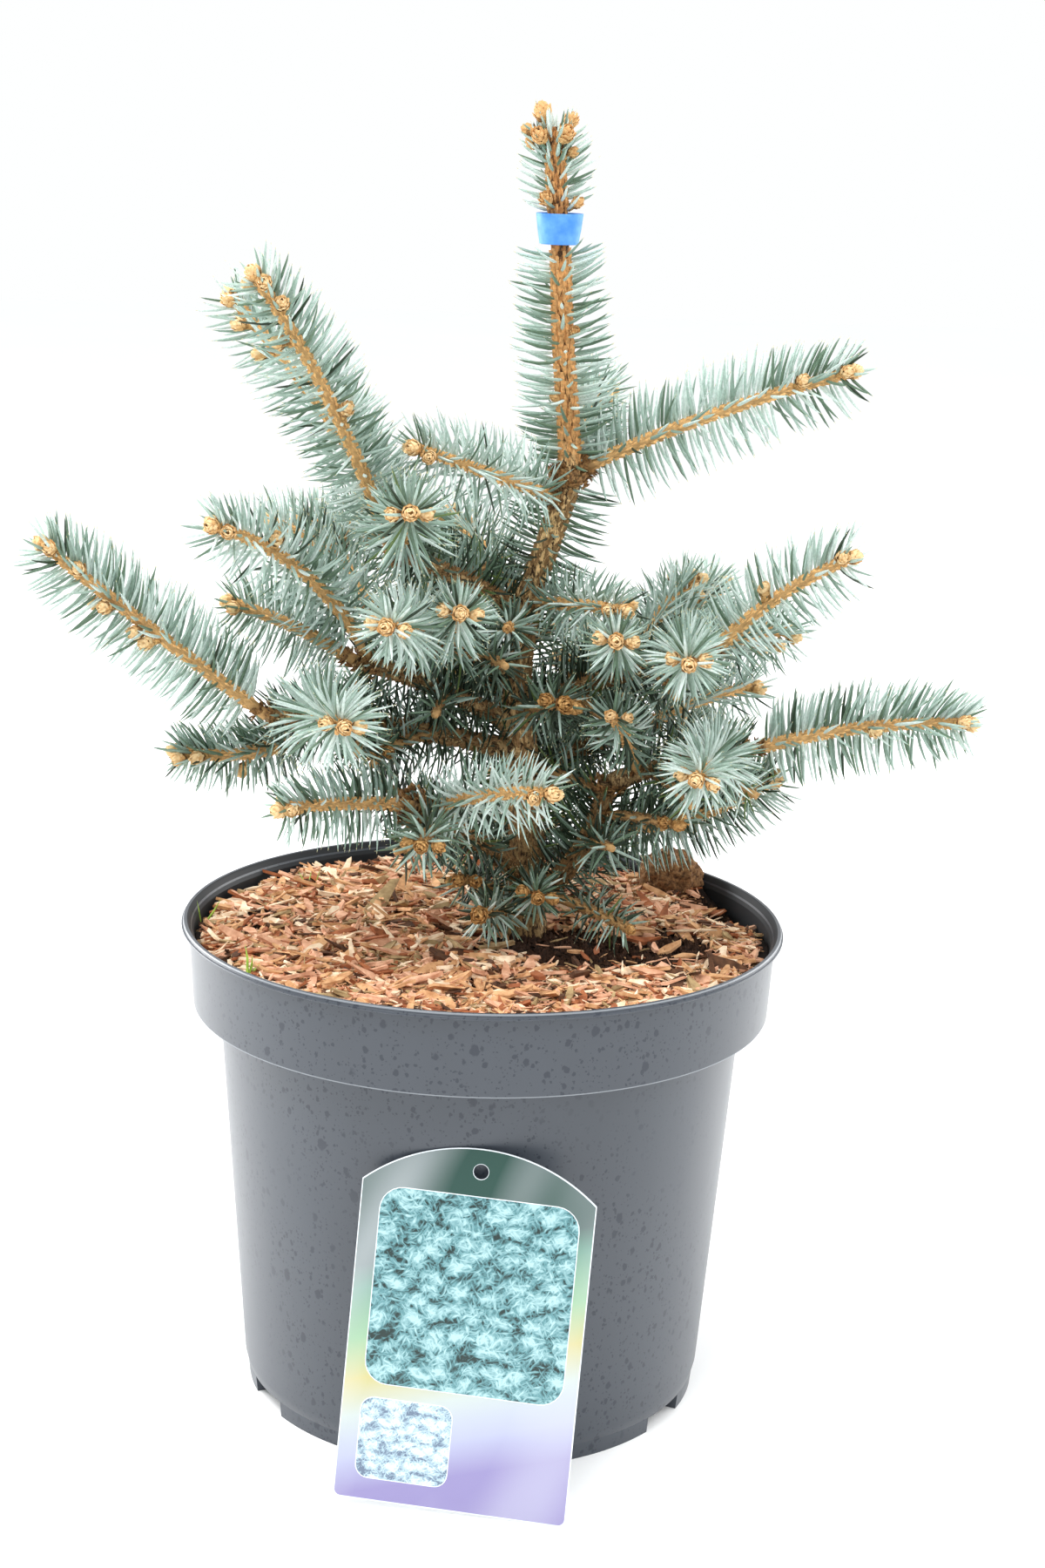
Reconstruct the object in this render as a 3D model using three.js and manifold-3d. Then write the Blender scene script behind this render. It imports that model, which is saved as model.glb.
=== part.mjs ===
// A young Colorado blue spruce in a round nursery pot, with a ring round its leader and a care card.
// Millimetres. +Z is up and +Y points away from the viewer.
// The origin is the middle of the pot's underside.

import * as THREE from "three";
import { mergeVertices } from "three/addons/utils/BufferGeometryUtils.js";
import Module from "manifold-3d";

const wasm = await Module();
wasm.setup();

// Driving dimensions

const GAP = 0.3;
const SIMPLIFY = 0.01;
const ROUND = 36;
const SMALL_ROUND = 18;

const POT = {
  height: 204,
  lipRadius: 126,
  lipDepth: 2.6,
  lipRounding: 0.8,
  lipWidth: 2.4,
  flareDepth: 5,
  bandTopRadius: 122.8,
  bandFootRadius: 120.9,
  bandFoot: 168.6,
  bodyTopRadius: 110,
  bodyFootRadius: 98.2,
  bodyFoot: 11.5,
  feetRadius: 96.3,
  feetWidth: 6.3,
  recess: 6.5,
  floorTop: 10.5,
  padRadius: 30,
  wall: 2,
  feetGaps: 6,
  gapWidth: 25,
  firstGap: -152,
};

const SOIL = {
  rimLevel: 195.6,
  footLevel: 198,
  footFlat: 17,
  domeSpread: 60,
  footBlend: 25,
  ripple: 0.9,
  rings: [100, 76, 50, 25],
  // A lump of peat, a hollow by the rim behind it, and bare dark soil in front of the trunk
  forms: [
    { x: 88, y: 76, height: 7, spread: 13 },
    { x: 108, y: 40, height: -6, spread: 20 },
    { x: 52, y: -14, height: -2.5, spread: 14 },
  ],
};

const TRUNK = {
  foot: SOIL.footLevel + GAP,
  tip: 528,
  sunk: 4,
  sides: 9,
  steps: 18,
  flare: 3.4,
  flareHeight: 9,
  flareLobes: 5,
  flareWave: 0.25,
};
// How far the trunk's middle stands to the right of the pot's middle, by height
const TRUNK_HEIGHTS = [190, 224, 276, 302, 338, 364, 391, 410, 441, 482, 530];
const TRUNK_OFFSETS = [16.4, 17.8, 13.6, 10.6, 14.2, 22.4, 29.4, 28.6, 25.5, 22.7, 19];
const TRUNK_RADIUS_HEIGHTS = [190, 224, 276, 338, 391, 402, 530];
const TRUNK_RADII = [7.9, 7.5, 6.6, 5.7, 5.4, 4.8, 4.1];

const RING = { bottom: 482, height: 12, bottomRadius: 7.7, topRadius: 9.4, boreBottom: 6.7, boreTop: 8.3 };

const CARD = {
  width: 92,
  shoulder: 127,
  arch: 17,
  cornerRadius: 2.5,
  holeRadius: 3,
  holeDrop: 9,
  thickness: 0.8,
  heading: -8,
  lean: 10,
  roll: -2.5,
  sideShift: 11.7,
  // How far the top of the arch reaches past the height at which it meets the pot
  overreach: 2,
};

const BOUGH = { sides: 6, steps: 5 };
const STEM = { sides: 4, baseRadius: 2.9, tipRadius: 2.4, twist: 17 };
const TWIG = {
  turn: 52,
  firstAt: 0.42,
  nextAt: 0.14,
  firstShare: 0.55,
  nextShare: 0.06,
  bow: 2,
  bare: 0.14,
  tipRadius: 2,
};
const BUD = { length: 9, radius: 3.4, widestAt: 0.55, point: 0.7, sideLength: 7.5 };
const LEADER_BUDS = {
  count: 5,
  firstHeading: 20,
  rise: 48,
  spread: 4.6,
  drop: 4,
  radius: 3.2,
  length: 9,
  endLift: 2,
  endRadius: 4,
  endLength: 15,
};
const NEEDLE = {
  lengthSpread: 2,
  tipShare: 0.68,
  shortShare: 0.62,
  step: 4.9,
  halfWidth: 2.9,
  baseTilt: 74,
  endTilt: 42,
  tiltSpread: 4,
  clearance: 0.6,
  sampleStep: 2,
  firstSample: 2,
};
// A needle's tilt closes toward the tip by one power of the share, and its length shortens by another
const TILT_POWER = 3;
const LENGTH_POWER = 6;
const SLEEVE = { wall: 1.5, sides: 6, needleLength: 21, halfWidth: 6 };

// Boughs: [name, carrier, height on the trunk or share of the carrier, heading, rise, length, bow,
// radius at the base, radius at the tip]. Headings and rises are in degrees:
// a heading of 0 is to the right and 90 is away, and a rise of 90 is upright.
const BOUGHS = [
  ["bough_upper_left", "trunk", 333, -140, 25, 77, 2, 4.4, 3.4],
  ["bough_mid_left", "trunk", 286, -152, 24, 82, 2, 4.6, 3.5],
  ["bough_front_left", "trunk", 309, -129, 20, 58, 1, 3.8, 3.2],
  ["bough_far_left", "trunk", 275, -154, 12, 115, 3, 4.8, 3.5],
  ["bough_low_left", "trunk", 219, -128, 32, 90, 3, 5.2, 3.6],
  ["bough_low_right", "trunk", 210.5, -31, 57, 68, -7, 5.4, 4.2],
  ["bough_right", "bough_low_right", 1, 5, 14, 60, 2, 4.1, 3.3],
  ["bough_upper_right", "trunk", 293, -11, 20, 84, 2, 4.6, 3.4],
  ["bough_back_low", "trunk", 245, 72, 24, 74, 2, 4.8, 3.5],
  ["bough_back_left", "trunk", 298, 148, 20, 76, 2, 4.5, 3.4],
  ["bough_back_right", "trunk", 264, 34, 14, 64, 2, 4.2, 3.3],
];

// Shoots: [name, carrier, height or share, heading, rise, length, bow, bare share at the base,
// side twigs, needle length]
const SHOOTS = [
  ["shoot_crown_right", "trunk", 391, -4, 22, 122, 3, 0.1, 0, 19.5],
  ["shoot_crown_left", "trunk", 380, -134, 18, 90, 0.5, 0.12, 0, 18],
  ["shoot_crown_back", "trunk", 390, 79, 24, 78, 3, 0.12, 0, 18],
  ["shoot_ring_front", "trunk", 338, -51, 6, 62, 1, 0.16, 0, 15],
  ["shoot_ring_back", "trunk", 337, 124, 27, 67, 1.5, 0.16, 0, 17],
  ["shoot_trunk_front", "trunk", 324, -99, 15, 40, 2, 0.3, 0, 11],
  ["shoot_trunk_right", "trunk", 289, -69, 19, 53, 2, 0.25, 0, 15],
  ["shoot_upper_left_front", "bough_upper_left", 0.93, -85, 22, 68, 3, 0.15, 0, 19],
  ["shoot_upper_left_tall", "bough_upper_left", 1, -146, 60, 124, 5, 0.08, 0, 20],
  ["shoot_upper_left_back", "bough_upper_left", 0.8, 157, 49, 131, 4, 0.12, 0, 20],
  ["shoot_mid_left_outer", "bough_mid_left", 0.9, -137, 38, 102, 10, 0.15, 0, 19],
  ["shoot_mid_left_end", "bough_mid_left", 1, 178, 23, 56, 2, 0.12, 0, 17],
  ["shoot_front_left_end", "bough_front_left", 1, -103, 15, 71, 3, 0.16, 0, 17],
  ["shoot_front_left_inner", "bough_front_left", 0.8, -85, 23, 62, 3, 0.2, 0, 15],
  ["shoot_far_left_tip", "bough_far_left", 1, -172, 38, 111, -0.5, 0.08, 0, 20],
  ["shoot_far_left_front", "bough_far_left", 0.86, -75, 10, 79, 3, 0.18, 0, 21],
  ["shoot_far_left_back", "bough_far_left", 0.74, 177, -13, 68, -7, 0.3, 0, 15],
  ["shoot_far_left_inner", "bough_far_left", 0.35, -133, -4, 38, 1, 0.3, 0, 14],
  ["shoot_low_left_outer", "bough_low_left", 1, -154, 3, 57, 2, 0.12, 0, 16],
  ["shoot_low_left_inner", "bough_low_left", 0.9, -45, 17, 73, 3, 0.15, 0, 16],
  ["shoot_low_left_front", "bough_low_left", 0.76, -99, 2, 48, 2, 0.25, 0, 16],
  ["shoot_foot_left", "trunk", 210.5, -125, 23, 54, 2, 0.3, 0, 13],
  ["shoot_foot_front", "trunk", 204.5, -108, 16, 63, 2, 0.35, 0, 13],
  ["shoot_foot_right", "trunk", 216, -86, 13, 58, 2, 0.3, 0, 13],
  ["shoot_foot_outer", "bough_low_right", 0.14, -51, -2, 58, 1, 0.4, 0, 11],
  ["shoot_low_right_outer", "bough_low_right", 0.7, 8, 16, 81, -7, 0.12, 0, 18],
  ["shoot_right_tip", "bough_right", 1, -6, 10, 91, 4, 0.08, 0, 18.5],
  ["shoot_right_front", "bough_right", 0.85, -104, 5, 78, 3, 0.16, 0, 19],
  ["shoot_right_inner", "bough_right", 0.22, -108, 36, 58, 3, 0.25, 0, 14],
  ["shoot_upper_right_tip", "bough_upper_right", 1, -15, 38, 72, 4, 0.08, 0, 18.5],
  ["shoot_upper_right_back", "bough_upper_right", 0.92, 42, 5, 58, 2, 0.16, 0, 17],
  ["shoot_upper_right_front", "bough_upper_right", 0.86, -92, 10, 76, 3, 0.18, 0, 17],
  ["shoot_upper_right_inner", "bough_upper_right", 0.55, -95, 23, 67, 3, 0.25, 0, 14],
  ["shoot_rear_inner", "bough_upper_right", 0.55, 58, 29, 68, 3, 0.25, 0, 16],
  ["shoot_rear_outer", "bough_upper_right", 0.76, 73, 12, 93, 3, 0.25, 0, 18],
  ["shoot_back_low_tip", "bough_back_low", 1, 58, 22, 78, 3, 0.1, 2, 18],
  ["shoot_back_low_side", "bough_back_low", 0.82, 128, 14, 80, 3, 0.18, 1, 17],
  ["shoot_back_left_tip", "bough_back_left", 1, 120, 27, 74, 3, 0.1, 2, 18],
  ["shoot_back_left_side", "bough_back_left", 0.7, 80, 24, 78, 3, 0.18, 1, 18],
  ["shoot_back_right_tip", "bough_back_right", 1, 30, 12, 60, 3, 0.1, 1, 18],
  ["shoot_back_right_side", "bough_back_right", 0.78, 88, 20, 66, 3, 0.18, 1, 17],
];

// The trunk's two stretches that carry needles of their own: [name, bottom, top, closed over the tip]
const SLEEVES = [
  ["needles_upper_trunk", 353, 377, false],
  ["needles_leader", 401, 531, true],
];

// Colours from the living plant, its mulch and its pot

function finish(color, roughness, metalness = 0) {
  return new THREE.MeshStandardMaterial({ color, roughness, metalness });
}

const potPlastic = () => finish(0x3c4349, 0.55);
const mulch = () => finish(0xa9714a, 0.95);
const oldBark = () => finish(0x7d5a3c, 0.9);
const blueNeedles = () => finish(0x7f9f9d, 0.6);
const ringPlastic = () => finish(0x2f74d8, 0.3);
const cardPrint = () => finish(0x9fb9a4, 0.35);

// Small helpers

const radians = THREE.MathUtils.degToRad;
const lerp = THREE.MathUtils.lerp;

function seededRandom(seed) {
  let state = seed >>> 0;
  return () => {
    state = (Math.imul(state, 1664525) + 1013904223) >>> 0;
    return state / 4294967296;
  };
}

function direction(heading, rise) {
  const around = radians(heading);
  const climb = radians(rise);
  return new THREE.Vector3(
    Math.cos(around) * Math.cos(climb),
    Math.sin(around) * Math.cos(climb),
    Math.sin(climb),
  );
}

function toSolid(geometry) {
  geometry.deleteAttribute("normal");
  geometry.deleteAttribute("uv");
  const merged = mergeVertices(geometry, 1e-4);
  return new wasm.Manifold(new wasm.Mesh({
    numProp: 3,
    vertProperties: Float32Array.from(merged.attributes.position.array),
    triVerts: Uint32Array.from(merged.index.array),
  }));
}

function toGeometry(solid) {
  const mesh = solid.getMesh();
  const geometry = new THREE.BufferGeometry();
  geometry.setAttribute("position", new THREE.BufferAttribute(mesh.vertProperties, 3));
  geometry.setIndex(new THREE.BufferAttribute(mesh.triVerts, 1));
  geometry.computeVertexNormals();
  return geometry;
}

function largestPart(solid) {
  const pieces = solid.decompose();
  return pieces.reduce((best, piece) => (piece.volume() > best.volume() ? piece : best));
}

function named(name, geometry, material) {
  const mesh = new THREE.Mesh(geometry, material);
  mesh.name = name;
  return mesh;
}

// Pot: a thin shell with a broad band and a narrow lip, standing on a notched ring of feet

function bodyRadius(height) {
  const share = (height - POT.bodyFoot) / (POT.bandFoot - POT.bodyFoot);
  return lerp(POT.bodyFootRadius, POT.bodyTopRadius, share);
}

function turned(profile, segments = ROUND) {
  const points = profile.map(([radius, height]) => new THREE.Vector2(radius, height));
  return new THREE.LatheGeometry(points, segments).rotateX(Math.PI / 2);
}

function potProfile() {
  const lipFoot = POT.height - POT.lipDepth;
  const ledge = POT.bandFoot + POT.wall;
  return [
    [0, 0],
    [POT.padRadius, 0],
    [POT.padRadius, POT.recess],
    [POT.feetRadius - POT.feetWidth, POT.recess],
    [POT.feetRadius - POT.feetWidth, 0],
    [POT.feetRadius, 0],
    [POT.feetRadius, POT.bodyFoot],
    [POT.bodyFootRadius, POT.bodyFoot],
    [POT.bodyTopRadius, POT.bandFoot],
    [POT.bandFootRadius, POT.bandFoot],
    [POT.bandTopRadius, lipFoot],
    [POT.lipRadius, lipFoot],
    [POT.lipRadius, POT.height - POT.lipRounding],
    [POT.lipRadius - POT.lipRounding, POT.height],
    [POT.lipRadius - POT.lipWidth, POT.height],
    [POT.bandTopRadius - POT.wall, POT.height - POT.flareDepth],
    [POT.bandFootRadius - POT.wall, ledge],
    [bodyRadius(ledge) - POT.wall, ledge],
    [bodyRadius(POT.floorTop) - POT.wall, POT.floorTop],
    [0, POT.floorTop],
  ];
}

function makePot() {
  let pot = toSolid(turned(potProfile()));
  const cutDepth = 2 * POT.feetWidth;
  for (let i = 0; i < POT.feetGaps; i++) {
    const notch = new THREE.BoxGeometry(cutDepth, POT.gapWidth, 2 * POT.recess);
    notch.translate(POT.feetRadius, 0, 0);
    notch.rotateZ(radians(POT.firstGap + (360 / POT.feetGaps) * i));
    pot = pot.subtract(toSolid(notch));
  }
  return named("pot", toGeometry(pot), potPlastic());
}

// Soil: a fill that follows the pot's inner wall, with a mulched top that is flat under the trunk

const trunkFoot = new THREE.Vector2(TRUNK_OFFSETS[0], 0);

function mound(x, y, form) {
  const distance = Math.hypot(x - form.x, y - form.y);
  return form.height * Math.exp(-((distance / form.spread) ** 2));
}

function soilTop(x, y) {
  const reach = Math.max(0, Math.hypot(x - trunkFoot.x, y - trunkFoot.y) - SOIL.footFlat);
  const dome = Math.exp(-((reach / SOIL.domeSpread) ** 2));
  const ripple = SOIL.ripple * Math.sin(x / 13 + 1.3) * Math.sin(y / 11 + 0.4);
  const relief = SOIL.forms.reduce((sum, form) => sum + mound(x, y, form), ripple);
  return lerp(SOIL.rimLevel, SOIL.footLevel, dome) + Math.min(1, reach / SOIL.footBlend) * relief;
}

function makeSoil() {
  const ledge = POT.bandFoot + POT.wall + GAP;
  const bandBore = POT.bandTopRadius - POT.wall - 2 * GAP;
  const fill = turned([
    [0, POT.floorTop + GAP],
    [bodyRadius(POT.floorTop) - POT.wall - GAP, POT.floorTop + GAP],
    [bodyRadius(ledge) - POT.wall - GAP, ledge],
    [POT.bandFootRadius - POT.wall - GAP, ledge],
    [bandBore, SOIL.rimLevel],
    ...SOIL.rings.map((radius) => [radius, SOIL.rimLevel]),
    [0, SOIL.rimLevel],
  ]);
  const place = fill.attributes.position;
  for (let i = 0; i < place.count; i++) {
    if (place.getZ(i) > SOIL.rimLevel - GAP) {
      place.setZ(i, soilTop(place.getX(i), place.getY(i)));
    }
  }
  fill.computeVertexNormals();
  return named("soil", fill, mulch());
}

// Limbs: a closed cylinder whose rings are laid along a curve, one ring at each station

function evenStations(steps, radiusAt) {
  return Array.from({ length: steps + 1 }, (unused, row) => ({
    share: row / steps,
    radiusAt: (point, angle) => radiusAt(row / steps, point, angle),
  }));
}

function frameAt(curve, share) {
  const tangent = curve.getTangentAt(share);
  const across = new THREE.Vector3().crossVectors(tangent, curve.reference).normalize();
  const over = new THREE.Vector3().crossVectors(across, tangent);
  return { point: curve.getPointAt(share), tangent, across, over };
}

function limbGeometry(curve, sides, stations, grow = 0, twist = 0) {
  const steps = stations.length - 1;
  const geometry = new THREE.CylinderGeometry(1, 1, 1, sides, steps);
  const place = geometry.attributes.position;
  for (let i = 0; i < place.count; i++) {
    const row = Math.round((place.getY(i) + 0.5) * steps);
    const { point, tangent, across, over } = frameAt(curve, stations[row].share);
    const fromMiddle = Math.hypot(place.getX(i), place.getZ(i));
    const angle = Math.atan2(place.getZ(i), place.getX(i)) + row * twist;
    const radius = fromMiddle * (stations[row].radiusAt(point, angle) + grow);
    const endShift = row === 0 ? -grow : row === steps ? grow : 0;
    point.addScaledVector(across, Math.cos(angle) * radius);
    point.addScaledVector(over, Math.sin(angle) * radius);
    point.addScaledVector(tangent, endShift);
    place.setXYZ(i, point.x, point.y, point.z);
  }
  return geometry;
}

function bowedCurve(start, heading, rise, length, bow) {
  const end = start.clone().addScaledVector(direction(heading, rise), length);
  const middle = start.clone().lerp(end, 0.5);
  middle.addScaledVector(direction(heading, rise + 90), 2 * bow);
  const curve = new THREE.QuadraticBezierCurve3(start, middle, end);
  curve.reference = new THREE.Vector3(0, 0, 1);
  return curve;
}

const leanOfTrunk = new THREE.CubicInterpolant(TRUNK_HEIGHTS, TRUNK_OFFSETS, 1);
const radiusOfTrunk = new THREE.LinearInterpolant(TRUNK_RADIUS_HEIGHTS, TRUNK_RADII, 1);

function trunkPoint(height) {
  return new THREE.Vector3(leanOfTrunk.evaluate(height)[0], 0, height);
}

function trunkRadius(height) {
  return radiusOfTrunk.evaluate(height)[0];
}

function flaredRadius(height, angle) {
  const flare = TRUNK.flare * Math.exp(-(height - TRUNK.foot) / TRUNK.flareHeight);
  return trunkRadius(height) + flare * (1 + TRUNK.flareWave * Math.sin(TRUNK.flareLobes * angle));
}

class TrunkStretch extends THREE.Curve {
  constructor(bottom, top) {
    super();
    this.bottom = bottom;
    this.top = top;
    this.reference = new THREE.Vector3(0, 1, 0);
  }

  getPoint(share, target = new THREE.Vector3()) {
    return target.copy(trunkPoint(lerp(this.bottom, this.top, share)));
  }
}

function trunkSolid(grow) {
  const axis = new TrunkStretch(TRUNK.foot - TRUNK.sunk, TRUNK.tip);
  const stations = evenStations(TRUNK.steps, (share, point, angle) => flaredRadius(point.z, angle));
  return toSolid(limbGeometry(axis, TRUNK.sides, stations, grow));
}

function makeTrunk() {
  const trunk = trunkSolid(0).trimByPlane([0, 0, 1], TRUNK.foot);
  return named("trunk", toGeometry(trunk), oldBark());
}

// Every bough is kept here by name, with its curve and radii, for what grows from it

const boughs = new Map();

function carrierPoint(carrier, at) {
  return carrier === "trunk" ? trunkPoint(at) : boughs.get(carrier).curve.getPointAt(at);
}

function carrierSolid(carrier, grow) {
  return carrier === "trunk" ? trunkSolid(grow) : boughSolid(boughs.get(carrier), grow);
}

function boughSolid(bough, grow) {
  const stations = evenStations(BOUGH.steps, (share) => lerp(bough.base, bough.tip, share));
  return toSolid(limbGeometry(bough.curve, BOUGH.sides, stations, grow));
}

function addBough([name, carrier, at, heading, rise, length, bow, base, tip]) {
  const curve = bowedCurve(carrierPoint(carrier, at), heading, rise, length, bow);
  boughs.set(name, { name, carrier, curve, base, tip });
}

function makeBough(bough) {
  const solid = boughSolid(bough, 0).subtract(carrierSolid(bough.carrier, GAP));
  return named(bough.name, toGeometry(largestPart(solid)), oldBark());
}

// Space: tapered segments that are already taken, each by one owner

const TRUNK_SEGMENTS = 20;
const BOUGH_SEGMENTS = 6;
const STEM_SEGMENTS = 8;
const taken = [];

function takeSegment(owner, start, end, startRadius, endRadius) {
  const middle = start.clone().lerp(end, 0.5);
  const reach = start.distanceTo(end) / 2 + Math.max(startRadius, endRadius);
  taken.push({ owner, line: new THREE.Line3(start, end), startRadius, endRadius, middle, reach });
}

function takeCurve(owner, curve, steps, radiusAt) {
  for (let i = 0; i < steps; i++) {
    const from = i / steps;
    const to = (i + 1) / steps;
    takeSegment(owner, curve.getPointAt(from), curve.getPointAt(to), radiusAt(from), radiusAt(to));
  }
}

const nearest = new THREE.Vector3();

function pointIsFree(point, radius, ownSpace) {
  const margin = radius + NEEDLE.clearance;
  return taken.every((segment) => {
    if (ownSpace.includes(segment.owner) || segment.middle.distanceTo(point) > segment.reach + margin) {
      return true;
    }
    const share = segment.line.closestPointToPointParameter(point, true);
    segment.line.at(share, nearest);
    return nearest.distanceTo(point) > lerp(segment.startRadius, segment.endRadius, share) + margin;
  });
}

function needleIsFree({ root, tip, halfWidth }, ownSpace) {
  const samples = Math.ceil(root.distanceTo(tip) / NEEDLE.sampleStep);
  for (let i = NEEDLE.firstSample; i <= samples; i++) {
    const point = root.clone().lerp(tip, i / samples);
    const radius = halfWidth * (1 - i / samples);
    const aboveSoil = point.z - radius > soilTop(point.x, point.y) + NEEDLE.clearance;
    if (!aboveSoil || !pointIsFree(point, radius, ownSpace)) {
      return false;
    }
  }
  return true;
}

// Stems: a thin limb whose faces are cells, and a needle is a cell drawn out to a point.
// The last rings swell and close as the end bud, and short points beside it are the side buds.

function stemStations(stem) {
  const firstNeedle = stem.bare * stem.length;
  const budFoot = stem.length - BUD.length;
  const rows = Math.max(2, Math.round((budFoot - firstNeedle) / NEEDLE.step));
  const stations = [{ share: 0, radius: stem.base }];
  for (let row = 0; row <= rows; row++) {
    const share = lerp(firstNeedle, budFoot, row / rows) / stem.length;
    stations.push({ share, radius: lerp(stem.base, stem.tip, share) });
  }
  stations.push({ share: 1 - BUD.widestAt * BUD.length / stem.length, radius: BUD.radius });
  stations.push({ share: 1, radius: BUD.point });
  return stations.map(({ share, radius }) => ({ share, radiusAt: () => radius }));
}

function sleeveStations(stem) {
  const rows = Math.round(stem.length / NEEDLE.step);
  return evenStations(rows, (share, point) => trunkRadius(point.z) + SLEEVE.wall);
}

function cornersOfCell(index, cell) {
  const first = 6 * cell;
  return [index.getX(first), index.getX(first + 1), index.getX(first + 4), index.getX(first + 2)];
}

function needleOfCell(stem, corners, random) {
  const place = stem.geometry.attributes.position;
  const middle = new THREE.Vector3();
  for (const corner of corners) {
    middle.add(new THREE.Vector3().fromBufferAttribute(place, corner).divideScalar(4));
  }
  const row = corners.row;
  const share = (stem.stations[row].share + stem.stations[row + 1].share) / 2;
  const root = stem.curve.getPointAt(share);
  const tangent = stem.curve.getTangentAt(share);
  const side = middle.sub(root);
  side.addScaledVector(tangent, -side.dot(tangent)).normalize();
  const isBud = stem.budRow === row && corners.column % 2 === 0;
  const tiltSpread = NEEDLE.tiltSpread * (2 * random() - 1);
  const lengthSpread = NEEDLE.lengthSpread * (2 * random() - 1);
  const tilt = radians(lerp(NEEDLE.baseTilt, NEEDLE.endTilt, share ** TILT_POWER) + tiltSpread);
  const fullLength = stem.needleLength + lengthSpread;
  const tipLength = NEEDLE.tipShare * stem.needleLength;
  const length = isBud ? BUD.sideLength : lerp(fullLength, tipLength, share ** LENGTH_POWER);
  const tip = root.clone().addScaledVector(tangent, Math.cos(tilt) * length);
  tip.addScaledVector(side, Math.sin(tilt) * length);
  return { root, tip, corners, halfWidth: stem.halfWidth };
}

function finishStem(stem, random) {
  const rows = stem.stations.length - 1;
  stem.geometry = limbGeometry(stem.curve, stem.sides, stem.stations, 0, radians(STEM.twist));
  stem.needles = [];
  stem.grown = [];
  for (let cell = 0; cell < stem.sides * rows; cell++) {
    const corners = cornersOfCell(stem.geometry.index, cell);
    corners.column = Math.floor(cell / rows);
    corners.row = rows - 1 - (cell % rows);
    corners.cell = cell;
    if (corners.row >= stem.firstRow && corners.row <= stem.lastRow) {
      stem.needles.push(needleOfCell(stem, corners, random));
    }
  }
  return stem;
}

function growStem(curve, length, base, tip, bare, needleLength, random) {
  const stem = { curve, length, base, tip, bare, needleLength, sides: STEM.sides };
  stem.halfWidth = NEEDLE.halfWidth;
  stem.coreRadius = (share) => (share * length > length - 2 * BUD.length ? BUD.radius : STEM.baseRadius);
  stem.stations = stemStations(stem);
  stem.firstRow = 1;
  stem.lastRow = stem.stations.length - 4;
  stem.budRow = stem.lastRow;
  return finishStem(stem, random);
}

function growSleeve(curve, length, closed, random) {
  const stem = { curve, length, sides: SLEEVE.sides, needleLength: SLEEVE.needleLength };
  stem.halfWidth = SLEEVE.halfWidth;
  stem.coreRadius = (share) => trunkRadius(curve.getPointAt(share).z) + SLEEVE.wall;
  stem.stations = sleeveStations(stem);
  stem.firstRow = 0;
  stem.lastRow = stem.stations.length - (closed ? 3 : 2);
  return finishStem(stem, random);
}

function spikedSolid(stem) {
  const place = Array.from(stem.geometry.attributes.position.array);
  const faces = Array.from(stem.geometry.index.array);
  const drawnOut = new Map(stem.grown.map((needle) => [needle.corners.cell, needle]));
  const spiked = [];
  for (let first = 0; first < faces.length; first += 6) {
    const needle = drawnOut.get(first / 6);
    if (needle) {
      const tip = place.length / 3;
      place.push(needle.tip.x, needle.tip.y, needle.tip.z);
      const [a, b, c, d] = needle.corners;
      spiked.push(a, b, tip, b, c, tip, c, d, tip, d, a, tip);
    } else {
      spiked.push(...faces.slice(first, first + 6));
    }
  }
  const geometry = new THREE.BufferGeometry();
  geometry.setAttribute("position", new THREE.Float32BufferAttribute(place, 3));
  geometry.setIndex(spiked);
  return toSolid(geometry);
}

// Masses: each is a stem with its side twigs, needles and buds, joined into one solid

function shootMass([name, carrier, at, heading, rise, length, bow, bare, twigCount, needle], seed) {
  const random = seededRandom(seed);
  const curve = bowedCurve(carrierPoint(carrier, at), heading, rise, length, bow);
  const stems = [growStem(curve, length, STEM.baseRadius, STEM.tipRadius, bare, needle, random)];
  for (let i = 0; i < twigCount; i++) {
    const turn = i % 2 === 0 ? TWIG.turn : -TWIG.turn;
    const start = curve.getPointAt(TWIG.firstAt + TWIG.nextAt * i);
    const twigLength = length * (TWIG.firstShare - TWIG.nextShare * i);
    const twigCurve = bowedCurve(start, heading + turn, rise, twigLength, TWIG.bow);
    const { bare: twigBare, tipRadius } = TWIG;
    stems.push(growStem(twigCurve, twigLength, STEM.tipRadius, tipRadius, twigBare, needle, random));
  }
  return { name, carrier, ownSpace: [name], stems };
}

function sleeveMass([name, bottom, top, closed], seed) {
  const curve = new TrunkStretch(bottom, top);
  const stem = growSleeve(curve, top - bottom, closed, seededRandom(seed));
  return { name, carrier: "trunk", closed, ownSpace: [name, "trunk"], stems: [stem] };
}

function budSolid(centre, toward, radius, length) {
  const bud = new THREE.OctahedronGeometry(1);
  bud.scale(radius, radius, length / 2);
  bud.applyQuaternion(new THREE.Quaternion().setFromUnitVectors(new THREE.Vector3(0, 0, 1), toward));
  return toSolid(bud.translate(centre.x, centre.y, centre.z));
}

function leaderBuds(top) {
  const crown = top.clone().add(new THREE.Vector3(0, 0, LEADER_BUDS.endLift));
  const buds = [budSolid(crown, direction(0, 90), LEADER_BUDS.endRadius, LEADER_BUDS.endLength)];
  for (let i = 0; i < LEADER_BUDS.count; i++) {
    const heading = LEADER_BUDS.firstHeading + (360 / LEADER_BUDS.count) * i;
    const outward = direction(heading, LEADER_BUDS.rise);
    const centre = top.clone().addScaledVector(outward, LEADER_BUDS.spread);
    centre.z -= LEADER_BUDS.drop;
    buds.push(budSolid(centre, outward, LEADER_BUDS.radius, LEADER_BUDS.length));
  }
  return buds;
}

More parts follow.
